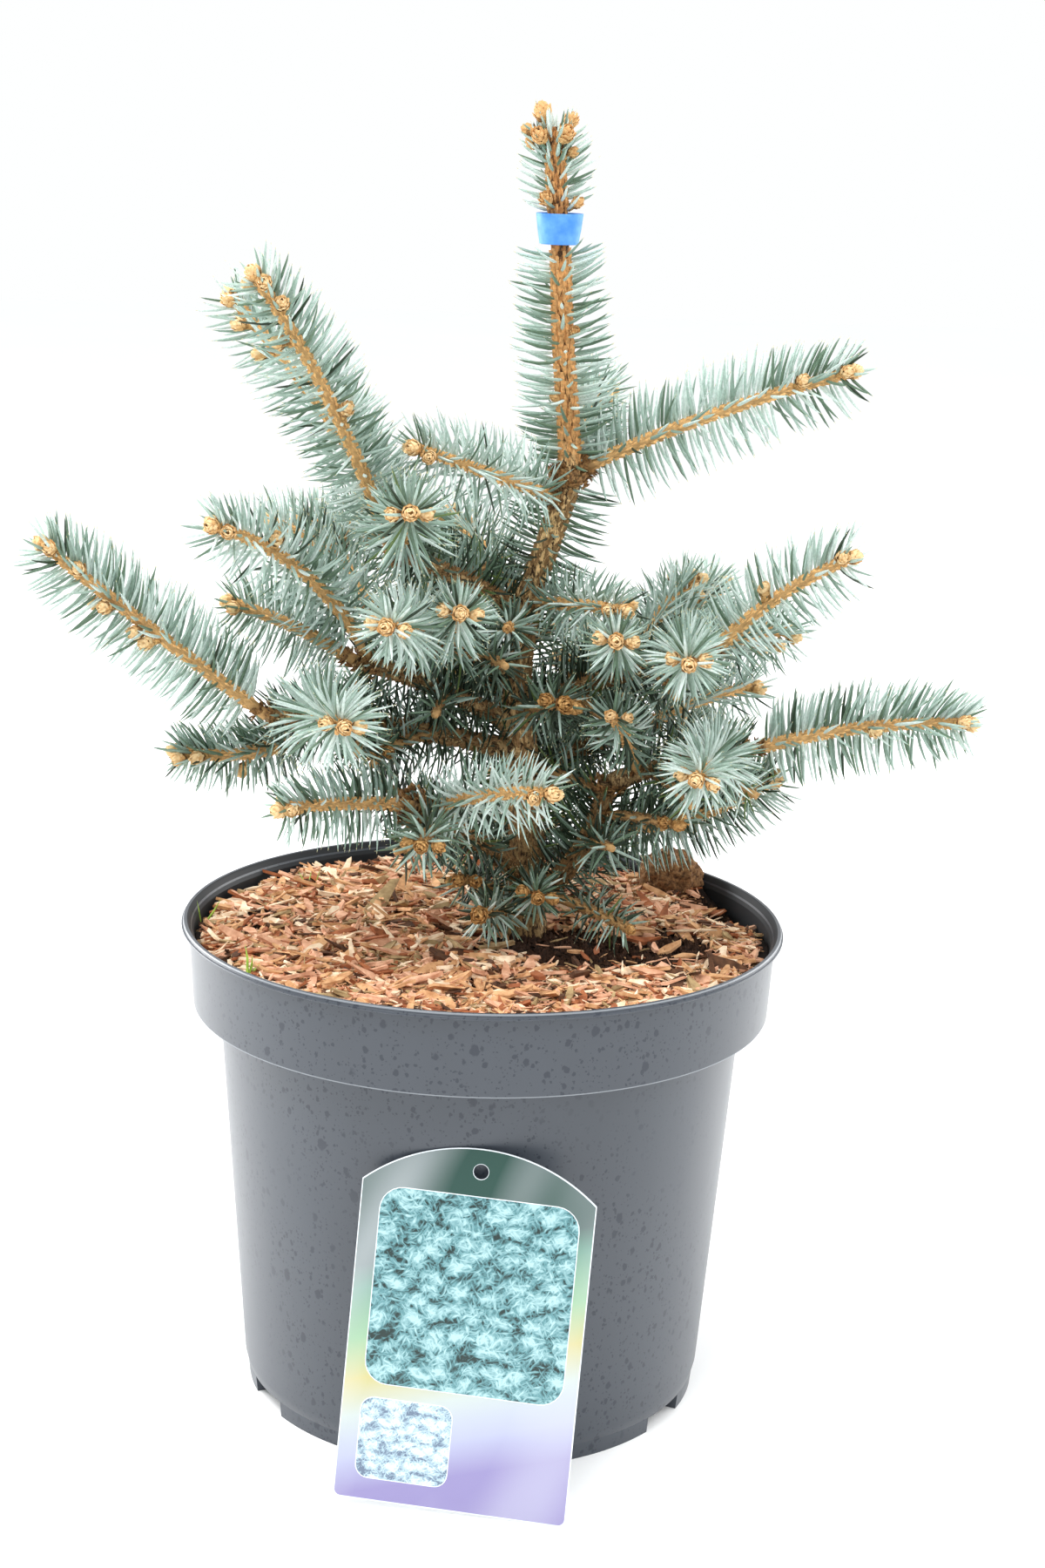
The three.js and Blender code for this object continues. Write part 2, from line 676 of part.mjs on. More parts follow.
function makeMass(mass) {
  const parts = mass.stems.map(spikedSolid);
  if (mass.closed) {
    parts.push(...leaderBuds(mass.stems[0].curve.getPointAt(1)));
  }
  const joined = wasm.Manifold.union(parts).subtract(carrierSolid(mass.carrier, GAP));
  return named(mass.name, toGeometry(largestPart(joined.simplify(SIMPLIFY))), blueNeedles());
}

function takeLimbs(masses) {
  const trunkAxis = new TrunkStretch(TRUNK.foot, TRUNK.tip);
  takeCurve("trunk", trunkAxis, TRUNK_SEGMENTS, (share) => trunkRadius(lerp(TRUNK.foot, TRUNK.tip, share)));
  takeCurve("ring", new TrunkStretch(RING.bottom, RING.bottom + RING.height), 2, () => RING.topRadius);
  for (const { name, curve, base, tip } of boughs.values()) {
    takeCurve(name, curve, BOUGH_SEGMENTS, (share) => lerp(base, tip, share));
  }
  for (const mass of masses) {
    for (const stem of mass.stems) {
      takeCurve(mass.name, stem.curve, STEM_SEGMENTS, (share) => stem.coreRadius(share));
    }
  }
}

// One needle of each mass in turn takes its space, so that neighbours share what lies between them.
// A needle that would touch something is tried again as a short one, and then skipped.

function growNeedles(masses) {
  const queues = masses.map((mass) => {
    const waiting = mass.stems.flatMap((stem) => stem.needles.map((needle) => ({ stem, needle })));
    return { mass, waiting };
  });
  const rounds = Math.max(...queues.map((queue) => queue.waiting.length));
  for (let i = 0; i < rounds; i++) {
    for (const { mass, waiting } of queues.filter((queue) => i < queue.waiting.length)) {
      const { stem, needle } = waiting[i];
      if (!needleIsFree(needle, mass.ownSpace)) {
        needle.tip.lerp(needle.root, 1 - NEEDLE.shortShare);
      }
      if (needleIsFree(needle, mass.ownSpace)) {
        takeSegment(mass.name, needle.root, needle.tip, needle.halfWidth, 0);
        stem.grown.push(needle);
      }
    }
  }
}

// Ring: a small tapered collar round the leader

function makeRing() {
  const collar = turned([
    [RING.boreBottom, 0],
    [RING.bottomRadius, 0],
    [RING.topRadius, RING.height],
    [RING.boreTop, RING.height],
    [RING.boreBottom, 0],
  ], SMALL_ROUND);
  const ring = named("leader_ring", collar, ringPlastic());
  ring.position.copy(trunkPoint(RING.bottom + RING.height / 2));
  ring.position.z = RING.bottom;
  return ring;
}

// Card: a thin sheet with an arched top and a hole, leaning on the front of the pot

function cardOutline() {
  const half = CARD.width / 2;
  const corner = CARD.cornerRadius;
  const archRadius = (half ** 2 + CARD.arch ** 2) / (2 * CARD.arch);
  const archCentre = CARD.shoulder + CARD.arch - archRadius;
  const archAngle = Math.asin(half / archRadius);
  const outline = new THREE.Shape();
  outline.moveTo(-half + corner, 0);
  outline.lineTo(half - corner, 0);
  outline.absarc(half - corner, corner, corner, -Math.PI / 2, 0, false);
  outline.lineTo(half, CARD.shoulder);
  outline.absarc(0, archCentre, archRadius, Math.PI / 2 - archAngle, Math.PI / 2 + archAngle, false);
  outline.lineTo(-half, corner);
  outline.absarc(-half + corner, corner, corner, Math.PI, 1.5 * Math.PI, false);
  const hole = new THREE.Path();
  hole.absarc(0, CARD.shoulder + CARD.arch - CARD.holeDrop, CARD.holeRadius, 0, 2 * Math.PI, true);
  outline.holes.push(hole);
  return outline;
}

function makeCard() {
  const sheet = new THREE.ExtrudeGeometry(cardOutline(), {
    depth: CARD.thickness,
    bevelEnabled: false,
    curveSegments: 5,
  });
  sheet.rotateZ(radians(CARD.roll));
  const card = named("care_card", sheet, cardPrint());
  card.rotation.x = radians(90 - CARD.lean);
  const contact = (CARD.shoulder + CARD.arch) * Math.cos(radians(CARD.lean)) - CARD.overreach;
  const standOff = bodyRadius(contact) + GAP + contact * Math.tan(radians(CARD.lean));
  const cornerDrop = (CARD.width / 2 - CARD.cornerRadius) * Math.sin(radians(-CARD.roll));
  card.position.set(CARD.sideShift, -standOff, cornerDrop * Math.cos(radians(CARD.lean)));
  const turnedCard = new THREE.Group();
  turnedCard.rotation.z = radians(CARD.heading);
  turnedCard.add(card);
  return turnedCard;
}

// Assembly

BOUGHS.forEach(addBough);
const masses = [...SLEEVES.map(sleeveMass), ...SHOOTS.map(shootMass)];
takeLimbs(masses);
growNeedles(masses);

const spruce = new THREE.Group();
spruce.add(makePot(), makeSoil(), makeTrunk(), makeRing(), makeCard());
for (const bough of boughs.values()) {
  spruce.add(makeBough(bough));
}
for (const mass of masses) {
  spruce.add(makeMass(mass));
}

export default spruce;
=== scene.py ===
import math
from dataclasses import dataclass
from functools import cache

import bmesh
import bpy
import numpy as np
from bpy.props import FloatProperty, FloatVectorProperty, IntProperty, PointerProperty
from bpy.types import Operator, Panel, PropertyGroup
from mathutils import Matrix, Vector, noise


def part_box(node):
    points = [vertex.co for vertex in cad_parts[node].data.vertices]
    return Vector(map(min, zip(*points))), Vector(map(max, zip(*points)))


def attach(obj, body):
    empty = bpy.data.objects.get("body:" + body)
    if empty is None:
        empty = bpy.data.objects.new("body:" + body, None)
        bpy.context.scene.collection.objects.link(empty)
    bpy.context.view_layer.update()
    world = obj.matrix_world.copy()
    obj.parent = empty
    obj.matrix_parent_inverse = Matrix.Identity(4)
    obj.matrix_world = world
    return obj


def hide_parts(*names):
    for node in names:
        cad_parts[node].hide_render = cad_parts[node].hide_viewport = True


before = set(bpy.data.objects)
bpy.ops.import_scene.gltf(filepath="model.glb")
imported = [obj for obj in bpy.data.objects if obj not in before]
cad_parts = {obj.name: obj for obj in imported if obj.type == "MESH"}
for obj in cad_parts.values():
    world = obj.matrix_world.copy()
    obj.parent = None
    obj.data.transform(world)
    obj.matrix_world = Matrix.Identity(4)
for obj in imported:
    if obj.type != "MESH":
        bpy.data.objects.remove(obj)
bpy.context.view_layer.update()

bl_info = {
    "name": "Potted Blue Spruce",
    "version": (1, 0, 0),
    "blender": (4, 5, 0),
    "location": "3D View > Sidebar > Spruce",
    "description": "Builds a young blue spruce in a nursery pot, with its mulch, ring and care card",
    "category": "Add Mesh",
}

MM = 0.001
UP = np.array((0.0, 0.0, 1.0))
GOLDEN_TURN = math.radians(137.5)


def srgb(red, green, blue):
    """The linear colour of a display colour given from 0 to 255."""

    def linear(value):
        level = value / 255
        return level / 12.92 if level <= 0.04045 else ((level + 0.055) / 1.055) ** 2.4

    return linear(red), linear(green), linear(blue)


# The limbs, in millimetres and degrees, as the solids have them.
# A heading of 0 is to the right and 90 is away, and a rise of 90 is upright.

TRUNK_HEIGHTS = np.array((190, 224, 276, 302, 338, 364, 391, 410, 441, 482, 530))
TRUNK_OFFSETS = np.array((16.4, 17.8, 13.6, 10.6, 14.2, 22.4, 29.4, 28.6, 25.5, 22.7, 19))
TRUNK_RADIUS_HEIGHTS = (190, 224, 276, 338, 391, 402, 530)
TRUNK_RADII = (7.9, 7.5, 6.6, 5.7, 5.4, 4.8, 4.1)
TRUNK_TIP = 528
# Heights where the bark starts, inside the soil, and where the flare is as wide as its setting
BARK_FOOT, FLARE_LEVEL = 195, 198.3
# Heights of the swollen whorls
WHORLS = (391, 338, 298, 216)

# Name, carrier, height on the trunk or share of the carrier, heading, rise, length, bow, base, tip
BOUGHS = (
    ("bough_upper_left", "trunk", 333, -140, 25, 77, 2, 4.4, 3.4),
    ("bough_mid_left", "trunk", 286, -152, 24, 82, 2, 4.6, 3.5),
    ("bough_front_left", "trunk", 309, -129, 20, 58, 1, 3.8, 3.2),
    ("bough_far_left", "trunk", 275, -154, 12, 115, 3, 4.8, 3.5),
    ("bough_low_left", "trunk", 219, -128, 32, 90, 3, 5.2, 3.6),
    ("bough_low_right", "trunk", 210.5, -31, 57, 68, -7, 5.4, 4.2),
    ("bough_right", "bough_low_right", 1, 5, 14, 60, 2, 4.1, 3.3),
    ("bough_upper_right", "trunk", 293, -11, 20, 84, 2, 4.6, 3.4),
    ("bough_back_low", "trunk", 245, 72, 24, 74, 2, 4.8, 3.5),
    ("bough_back_left", "trunk", 298, 148, 20, 76, 2, 4.5, 3.4),
    ("bough_back_right", "trunk", 264, 34, 14, 64, 2, 4.2, 3.3),
)

# Name, carrier, height or share, heading, rise, length, bow, bare share at the base, side twigs,
# length of its needles, coat
SHOOTS = (
    ("shoot_crown_right", "trunk", 391, -4, 22, 122, 3, 0.1, 0, 19.5, "broad"),
    ("shoot_crown_left", "trunk", 380, -134, 18, 90, 0.5, 0.12, 0, 18, "bright"),
    ("shoot_crown_back", "trunk", 390, 79, 24, 78, 3, 0.12, 0, 18, "bright"),
    ("shoot_ring_front", "trunk", 338, -51, 6, 62, 1, 0.16, 0, 15, "blue"),
    ("shoot_ring_back", "trunk", 337, 124, 27, 67, 1.5, 0.16, 0, 17, "dull"),
    ("shoot_trunk_front", "trunk", 324, -99, 15, 40, 2, 0.3, 0, 11, "dull"),
    ("shoot_trunk_right", "trunk", 289, -69, 19, 53, 2, 0.25, 0, 15, "dark"),
    ("shoot_upper_left_front", "bough_upper_left", 0.93, -85, 22, 68, 3, 0.15, 0, 19, "dull"),
    ("shoot_upper_left_tall", "bough_upper_left", 1, -146, 60, 124, 5, 0.08, 0, 18.5, "broad"),
    ("shoot_upper_left_back", "bough_upper_left", 0.8, 157, 49, 131, 4, 0.12, 0, 18.5, "broad"),
    ("shoot_mid_left_outer", "bough_mid_left", 0.9, -137, 38, 102, 10, 0.15, 0, 19, "full"),
    ("shoot_mid_left_end", "bough_mid_left", 1, 178, 23, 56, 2, 0.12, 0, 17, "blue"),
    ("shoot_front_left_end", "bough_front_left", 1, -103, 15, 71, 3, 0.16, 0, 17, "bright"),
    ("shoot_front_left_inner", "bough_front_left", 0.8, -85, 23, 62, 3, 0.2, 0, 15, "blue"),
    ("shoot_far_left_tip", "bough_far_left", 1, -172, 38, 111, -0.5, 0.08, 0, 20, "full"),
    ("shoot_far_left_front", "bough_far_left", 0.86, -75, 10, 79, 3, 0.18, 0, 21, "bright"),
    ("shoot_far_left_back", "bough_far_left", 0.74, 177, -13, 68, -7, 0.3, 0, 15, "dense"),
    ("shoot_far_left_inner", "bough_far_left", 0.35, -133, -4, 38, 1, 0.3, 0, 14, "dark"),
    ("shoot_low_left_outer", "bough_low_left", 1, -154, 3, 57, 2, 0.12, 0, 16, "dense"),
    ("shoot_low_left_inner", "bough_low_left", 0.9, -45, 17, 73, 3, 0.15, 0, 16, "bright"),
    ("shoot_low_left_front", "bough_low_left", 0.76, -99, 2, 48, 2, 0.25, 0, 16, "dark"),
    ("shoot_foot_left", "trunk", 210.5, -125, 23, 54, 2, 0.3, 0, 13, "dark"),
    ("shoot_foot_front", "trunk", 204.5, -108, 16, 63, 2, 0.35, 0, 13, "dark"),
    ("shoot_foot_right", "trunk", 216, -86, 13, 58, 2, 0.48, 0, 13, "dark"),
    ("shoot_foot_outer", "bough_low_right", 0.14, -51, -2, 58, 1, 0.4, 0, 11, "dark"),
    ("shoot_low_right_outer", "bough_low_right", 0.7, 8, 16, 81, -7, 0.12, 0, 18, "dense"),
    ("shoot_right_tip", "bough_right", 1, -6, 10, 91, 4, 0.08, 0, 18.5, "full"),
    ("shoot_right_front", "bough_right", 0.85, -104, 5, 78, 3, 0.16, 0, 19, "bright"),
    ("shoot_right_inner", "bough_right", 0.22, -108, 36, 58, 3, 0.25, 0, 14, "dull"),
    ("shoot_upper_right_tip", "bough_upper_right", 1, -15, 38, 72, 4, 0.08, 0, 18.5, "broad"),
    ("shoot_upper_right_back", "bough_upper_right", 0.92, 42, 5, 58, 2, 0.16, 0, 17, "blue"),
    ("shoot_upper_right_front", "bough_upper_right", 0.86, -92, 10, 76, 3, 0.18, 0, 17, "bright"),
    ("shoot_upper_right_inner", "bough_upper_right", 0.55, -95, 23, 67, 3, 0.25, 0, 14, "blue"),
    ("shoot_rear_inner", "bough_upper_right", 0.55, 58, 29, 68, 3, 0.25, 0, 16, "blue"),
    ("shoot_rear_outer", "bough_upper_right", 0.76, 73, 12, 93, 3, 0.25, 0, 18, "blue"),
    ("shoot_back_low_tip", "bough_back_low", 1, 58, 22, 78, 3, 0.1, 2, 18, "blue"),
    ("shoot_back_low_side", "bough_back_low", 0.82, 128, 14, 80, 3, 0.18, 1, 17, "dull"),
    ("shoot_back_left_tip", "bough_back_left", 1, 120, 27, 74, 3, 0.1, 2, 18, "blue"),
    ("shoot_back_left_side", "bough_back_left", 0.7, 80, 24, 78, 3, 0.18, 1, 18, "blue"),
    ("shoot_back_right_tip", "bough_back_right", 1, 30, 12, 60, 3, 0.1, 1, 18, "blue"),
    ("shoot_back_right_side", "bough_back_right", 0.78, 88, 20, 66, 3, 0.18, 1, 17, "blue"),
)

# Short dark twigs too small for a solid of their own: carrier, height or share, heading, rise,
# length. One that is longer than 40 has buds
SMALL_TWIGS = (
    ("bough_upper_left", 0.98, 333, 48, 22),
    ("bough_upper_left", 0.45, 60, 10, 30),
    ("bough_mid_left", 0.62, 120, 30, 26),
    ("bough_mid_left", 0.45, -100, -8, 28),
    ("bough_mid_left", 0.3, 110, -6, 30),
    ("bough_front_left", 0.5, -60, 0, 26),
    ("bough_far_left", 0.6, 112, 24, 30),
    ("bough_far_left", 0.34, 100, -8, 34),
    ("bough_far_left", 0.62, -96, -12, 32),
    ("bough_upper_right", 0.34, 72, 30, 24),
    ("bough_upper_right", 0.3, -60, -18, 32),
    ("bough_upper_right", 0.7, -70, -14, 30),
    ("bough_low_left", 0.5, 150, 20, 26),
    ("bough_low_left", 0.6, -150, -10, 32),
    ("bough_right", 0.5, 82, 30, 28),
    ("bough_right", 0.3, -60, -14, 34),
    ("bough_low_right", 0.5, 60, -4, 34),
    ("bough_low_right", 0.8, -40, 5, 42),
    ("bough_back_low", 0.5, 10, 26, 28),
    ("bough_back_low", 0.4, 150, -4, 30),
    ("bough_back_left", 0.45, -160, 20, 26),
    ("bough_back_right", 0.5, -30, 24, 24),
    ("bough_far_left", 0.8, 170, -26, 34),
    ("bough_far_left", 0.5, -110, -20, 30),
    ("bough_low_left", 0.75, 165, 24, 34),
    ("bough_low_right", 0.6, -70, 10, 30),
    ("bough_low_right", 0.92, 150, 14, 30),
    ("bough_right", 0.6, -20, -24, 32),
    ("trunk", 258, 40, 8, 34),
    ("trunk", 272, 100, 4, 34),
    ("trunk", 240, 140, 10, 34),
    ("trunk", 232, 60, 16, 34),
    ("trunk", 226, 170, 14, 36),
    ("trunk", 222, 100, 18, 34),
    ("trunk", 318, 60, 10, 32),
    ("trunk", 312, -170, 6, 30),
)

# Side twigs: their turn from the stem in degrees, where the first stands and how far on the next,
# how long the first is and how much shorter the next, as shares of the stem, and their bow
TWIG_TURN = 52
TWIG_FIRST_AT, TWIG_NEXT_AT = 0.42, 0.14
TWIG_FIRST_SHARE, TWIG_NEXT_SHARE = 0.55, 0.06
TWIG_BOW, SMALL_TWIG_BOW = 2, 1

# Radii of a stem's base and tip and of a twig's tip, and the bare share at a twig's base
STEM_BASE, STEM_TIP, TWIG_END = 2.3, 1.7, 1.5
TWIG_BARE, SMALL_TWIG_BARE = 0.14, 0.2

# The length of a small twig's needles, and how long a small twig is without buds
SMALL_TWIG_NEEDLE, LONG_TWIG = 14, 40

# The first of these shoots grow from the crown, where old scales crowd round their bases
CROWN_SHOOTS = 3

# The seeds of the limbs' needles count on from these. The shoots' count from 0
TWIG_SEED, BOUGH_SEED, TRUNK_SEED = 100, 400, 500
SHED_TRUNK_SEED, SHED_BOUGH_SEED, SMALL_TWIG_SEED = 520, 540, 800


# Property groups: the sizes and colours that a user would change


def length(name, description, default):
    """A length in metres."""
    return FloatProperty(name=name, description=description, default=default, min=0.0,
                         precision=4, unit="LENGTH")


def share(name, description, default, high=1.0):
    """A plain number from 0 to high."""
    return FloatProperty(name=name, description=description, default=default, min=0.0, max=high)


def measure(name, description, default, unit):
    """A number with a unit."""
    return FloatProperty(name=name, description=description, default=default, unit=unit)


def angle(name, description, degrees):
    """An angle, given in degrees and kept in radians."""
    return measure(name, description, math.radians(degrees), "ROTATION")


def count(name, description, default):
    """How many of something."""
    return IntProperty(name=name, description=description, default=default, min=1)


def colour(name, description, *display):
    """A colour, given from 0 to 255 as displayed."""
    return FloatVectorProperty(name=name, description=description, default=srgb(*display),
                               min=0.0, max=1.0, size=3, subtype="COLOR")


POT_LOW, POT_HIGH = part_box("pot")
RING_LOW, RING_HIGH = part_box("leader_ring")


class PotSettings(PropertyGroup):
    """The round nursery pot."""

    height: length("Height", "Height of the lip's top above the floor", POT_HIGH.z)
    lip_radius: length("Lip radius", "Outer radius of the lip", POT_HIGH.x)
    lip_depth: length("Lip depth", "Height of the narrow lip", 2.6 * MM)
    lip_width: length("Lip width", "Width of the lip's flat top", 2.4 * MM)
    band_top: length("Band top", "Outer radius of the band under the lip", 122.8 * MM)
    band_foot: length("Band foot", "Outer radius of the band at its foot", 120.9 * MM)
    band_level: length("Band level", "Height of the band's foot", 168.6 * MM)
    body_top: length("Body top", "Outer radius of the body under the band", 110 * MM)
    body_foot: length("Body foot", "Outer radius of the body above its feet", 98.2 * MM)
    body_level: length("Body level", "Height of the body's foot", 11.5 * MM)
    feet_radius: length("Feet radius", "Outer radius of the ring of feet", 96.3 * MM)
    feet_width: length("Feet width", "Width of the ring of feet", 6.3 * MM)
    recess: length("Recess", "Height of the hollow under the pot", 6.5 * MM)
    pad_radius: length("Pad radius", "Radius of the pad in the middle of the underside", 30 * MM)
    floor_level: length("Floor level", "Height of the pot's floor inside", 10.5 * MM)
    wall: length("Wall", "Thickness of the wall", 2 * MM)
    feet: count("Feet", "Number of feet", 6)
    foot_gap: angle("Foot gap", "Turn between two feet", 15)
    first_gap: angle("First gap", "Heading of the first gap", -152)
    segments: count("Segments", "Segments round the pot", 144)
    plastic: colour("Plastic", "Colour of the slate plastic", 57, 63, 72)
    splash: colour("Drops", "Colour of the drops of water on it", 20, 29, 44)
    # Painted shade: the dark colour laid on the wall inside the lip, for the shade that falls there
    inside: colour("Inside", "Colour of the shaded wall inside the lip", 26, 30, 35)


class MulchSettings(PropertyGroup):
    """The soil and the wood chips on it."""

    rim_level: length("Rim level", "Height of the soil beside the pot's wall", 194.6 * MM)
    foot_level: length("Foot level", "Height of the soil beside the trunk", 197 * MM)
    radius: length("Radius", "Radius of the soil's surface", 120.2 * MM)
    depth: length("Depth", "Thickness of the soil that is modelled", 22 * MM)
    rings: count("Rings", "Rings of the soil's surface", 64)
    segments: count("Segments", "Segments round the soil's surface", 200)
    chips: count("Chips", "Number of wood chips", 4200)
    shreds: count("Shreds", "Number of fine shreds between the chips", 9000)
    crumbs: count("Crumbs", "Number of soil crumbs", 3400)
    chip_length: length("Chip length", "Usual length of a chip", 10.2 * MM)
    chip_width: length("Chip width", "Usual width of a chip", 3.6 * MM)
    soil: colour("Soil", "Colour of the bare soil", 29, 20, 15)


class BarkSettings(PropertyGroup):
    """The trunk and the boughs."""

    flare: length("Flare", "How far the root flare spreads at the soil", 3.4 * MM)
    flare_height: length("Flare height", "Height over which the flare dies away", 9 * MM)
    relief: length("Relief", "Depth of the furrows in old bark", 0.8 * MM)
    row_step: length("Row step", "Distance between rows of the mesh", 1.1 * MM)
    old_bark: colour("Old bark", "Colour of the oldest bark", 158, 132, 92)
    young_bark: colour("Young bark", "Colour of the upper trunk's bark", 240, 204, 150)
    leader_bark: colour("Leader bark", "Colour of this year's bark", 180, 126, 77)
    peg: colour("Peg", "Colour of the pegs under young needles", 222, 176, 116)
    old_peg: colour("Old peg", "Colour of the pegs under old needles", 152, 118, 78)
    leader_peg: colour("Leader peg", "Colour of the pegs on the leader", 208, 156, 100)
    # Partly painted shade: the furrows' colour is the bark's darker colour there and the shade in
    # them
    furrow: colour("Furrow", "Colour deep in the bark's furrows", 58, 40, 26)
    slimness: share("Slimness", "Wood of a bough, as a share of its solid", 0.74)


class NeedleSettings(PropertyGroup):
    """The needles and the pegs that they grow on."""

    scale: share("Scale", "Length of the needles, as a share of the usual", 1.0, 2)
    spread: length("Spread", "How much a needle's length varies", 1.2 * MM)
    tip_share: share("Tip share", "Length of the needles at a shoot's end, as a share", 0.62)
    half_width: length("Half width", "Half of a needle's width", 0.58 * MM)
    per_metre: share("Per metre", "Needles on each metre of a young shoot", 3200, 9000)
    parting: share("Parting", "How far needles part from a stem's front and back", 0.24)
    sag: measure("Sag", "How much further the needles below a stem lean", 0.4, "ROTATION")
    shade_reach: length("Shade reach", "How far from the trunk the needles are darker", 76 * MM)
    shade_top: length("Shade top", "Height up to which the needles are darker", 0.35)
    shade_depth: share("Shade depth", "Share of those needles that take a darker tone", 0.36)


class StageSettings(PropertyGroup):
    """The floor, the lights and the camera."""

    distance: length("Distance", "How far the camera stands in front of the pot", 1.0821)
    eye_level: length("Eye level", "Height of the camera", 0.5362)
    yaw: measure("Yaw", "How far the camera looks to the right", 0.01364, "ROTATION")
    pitch: measure("Pitch", "How far the camera looks down", 0.24844, "ROTATION")
    roll: measure("Roll", "How far the camera leans", 0.03224, "ROTATION")
    lens: measure("Lens", "Focal length", 61.75, "CAMERA")
    floor_size: length("Floor size", "Width of the floor", 12.0)
    floor: colour("Floor", "Colour of the floor", 254, 255, 255)
    surroundings: colour("Surroundings", "Colour of the soft light all round", 254, 255, 255)
    glow: share("Glow", "Strength of the soft light all round", 1.0, 10)
    key: measure("Key", "Power of the large light above", 28.0, "POWER")
    back: measure("Back", "Power of the lights behind on both sides", 22.0, "POWER")


# Finishes: each is a node material on Object coordinates


def start_finish(name, roughness, specular):
    """A new material with its node tree and its Principled shader."""
    material = bpy.data.materials.new(name)
    material.use_nodes = True
    shader = material.node_tree.nodes["Principled BSDF"]
    shader.inputs["Roughness"].default_value = roughness
    shader.inputs["Specular IOR Level"].default_value = specular
    return material, material.node_tree, shader


def add_node(tree, kind, inputs=None, **settings):
    """A node with some of its settings made, and some of its inputs linked or filled."""
    node = tree.nodes.new(kind)
    for name, value in settings.items():
        setattr(node, name, value)
    for name, value in (inputs or {}).items():
        socket = node.inputs[name]
        if isinstance(value, bpy.types.NodeSocket):
            tree.links.new(value, socket)
        elif socket.type == "RGBA":
            socket.default_value = (*value[:3], 1.0)
        else:
            socket.default_value = value
    return node


def place_node(tree, stretch=(1.0, 1.0, 1.0)):
    """Object coordinates, stretched by a Mapping node."""
    place = add_node(tree, "ShaderNodeTexCoord").outputs["Object"]
    mapping = add_node(tree, "ShaderNodeMapping", {"Vector": place, "Scale": stretch})
    return mapping.outputs["Vector"]


def split_node(tree, place):
    """The sockets X, Y and Z of a place."""
    return add_node(tree, "ShaderNodeSeparateXYZ", {"Vector": place}).outputs


def pattern_node(tree, kind, place, scale, **inputs):
    """A noise texture or Voronoi cells, as all the texture's outputs."""
    inputs = {"Vector": place, "Scale": scale, **inputs}
    return add_node(tree, "ShaderNodeTex" + kind, inputs).outputs


def noise_node(tree, scale, detail=3.0, roughness=0.55, stretch=(1.0, 1.0, 1.0)):
    """Noise of so many cells a metre, from 0 to 1."""
    place = place_node(tree, stretch)
    return pattern_node(tree, "Noise", place, scale, Detail=detail, Roughness=roughness)["Fac"]


def ramp_node(tree, factor, stops):
    """A colour ramp: stops are (place, colour)."""
    ramp = add_node(tree, "ShaderNodeValToRGB", {"Fac": factor})
    elements = ramp.color_ramp.elements
    while len(elements) < len(stops):
        elements.new(0.5)
    for element, (place, tint) in zip(elements, stops):
        element.position = place
        element.color = (*tint[:3], 1.0)
    return ramp.outputs["Color"]


def mix_colours(tree, factor, first, second, blend="MIX"):
    """Two colours mixed by a factor. Each is a socket or a plain value."""
    mix = add_node(tree, "ShaderNodeMix", {"Factor": factor, "A": first, "B": second},
                   data_type="RGBA", blend_type=blend)
    return mix.outputs["Result"]


def math_node(tree, operation, first, second=0.0, third=0.0, clamp=False):
    """One step of arithmetic. Each value is a socket or a number."""
    step = add_node(tree, "ShaderNodeMath", {0: first, 1: second, 2: third},
                    operation=operation, use_clamp=clamp)
    return step.outputs["Value"]


def vector_node(tree, operation, first, second):
    """One step of arithmetic on a vector, with another vector or, to scale it, a number."""
    other = "Scale" if operation == "SCALE" else 1
    step = add_node(tree, "ShaderNodeVectorMath", {0: first, other: second},
                    operation=operation)
    return step.outputs["Vector"]


def greatest(tree, values):
    """The greatest of several sockets' values."""
    most, *others = values
    for value in others:
        most = math_node(tree, "MAXIMUM", most, value)
    return most


def bump_shader(tree, shader, height, distance, strength=0.6):
    """Bump of that height, in metres, on the shader's normal."""
    bump = add_node(tree, "ShaderNodeBump",
                    {"Height": height, "Distance": distance, "Strength": strength})
    tree.links.new(bump.outputs["Normal"], shader.inputs["Normal"])


def mottled_finish(name, dark, light, scale, roughness, specular=0.4, bump=0.0):
    """A finish whose colour wanders between two, with a fine bump where one is given."""
    material, tree, shader = start_finish(name, roughness, specular)
    factor = noise_node(tree, scale)
    tint = ramp_node(tree, factor, ((0.3, dark), (0.7, light)))
    tree.links.new(tint, shader.inputs["Base Color"])
    if bump:
        bump_shader(tree, shader, factor, bump)
    return material


def darker(tint, amount):
    """A colour with each part times an amount."""
    return tuple(min(1.0, part * amount) for part in tint)


# Meshes


def new_object(name, data):
    """An object in the scene."""
    made = bpy.data.objects.new(name, data)
    bpy.context.scene.collection.objects.link(made)
    return made


def new_mesh(name, bm):
    """A bmesh made into a mesh, and freed."""
    mesh = bpy.data.meshes.new(name)
    bm.to_mesh(mesh)
    bm.free()
    return mesh


def mesh_piece(name, bm, material, replaced=(), smooth=True):
    """A bmesh made into a piece of the object, on the only body."""
    return finish_piece(name, new_mesh(name, bm), material, replaced, smooth)


def finish_piece(name, mesh, material, replaced=(), smooth=True):
    """A mesh made into a piece of the object, on the only body."""
    piece = new_object(name, mesh)
    mesh.materials.append(material)
    mesh.polygons.foreach_set("use_smooth", [smooth] * len(mesh.polygons))
    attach(piece, "root")
    if replaced:
        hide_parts(*replaced)
    return piece


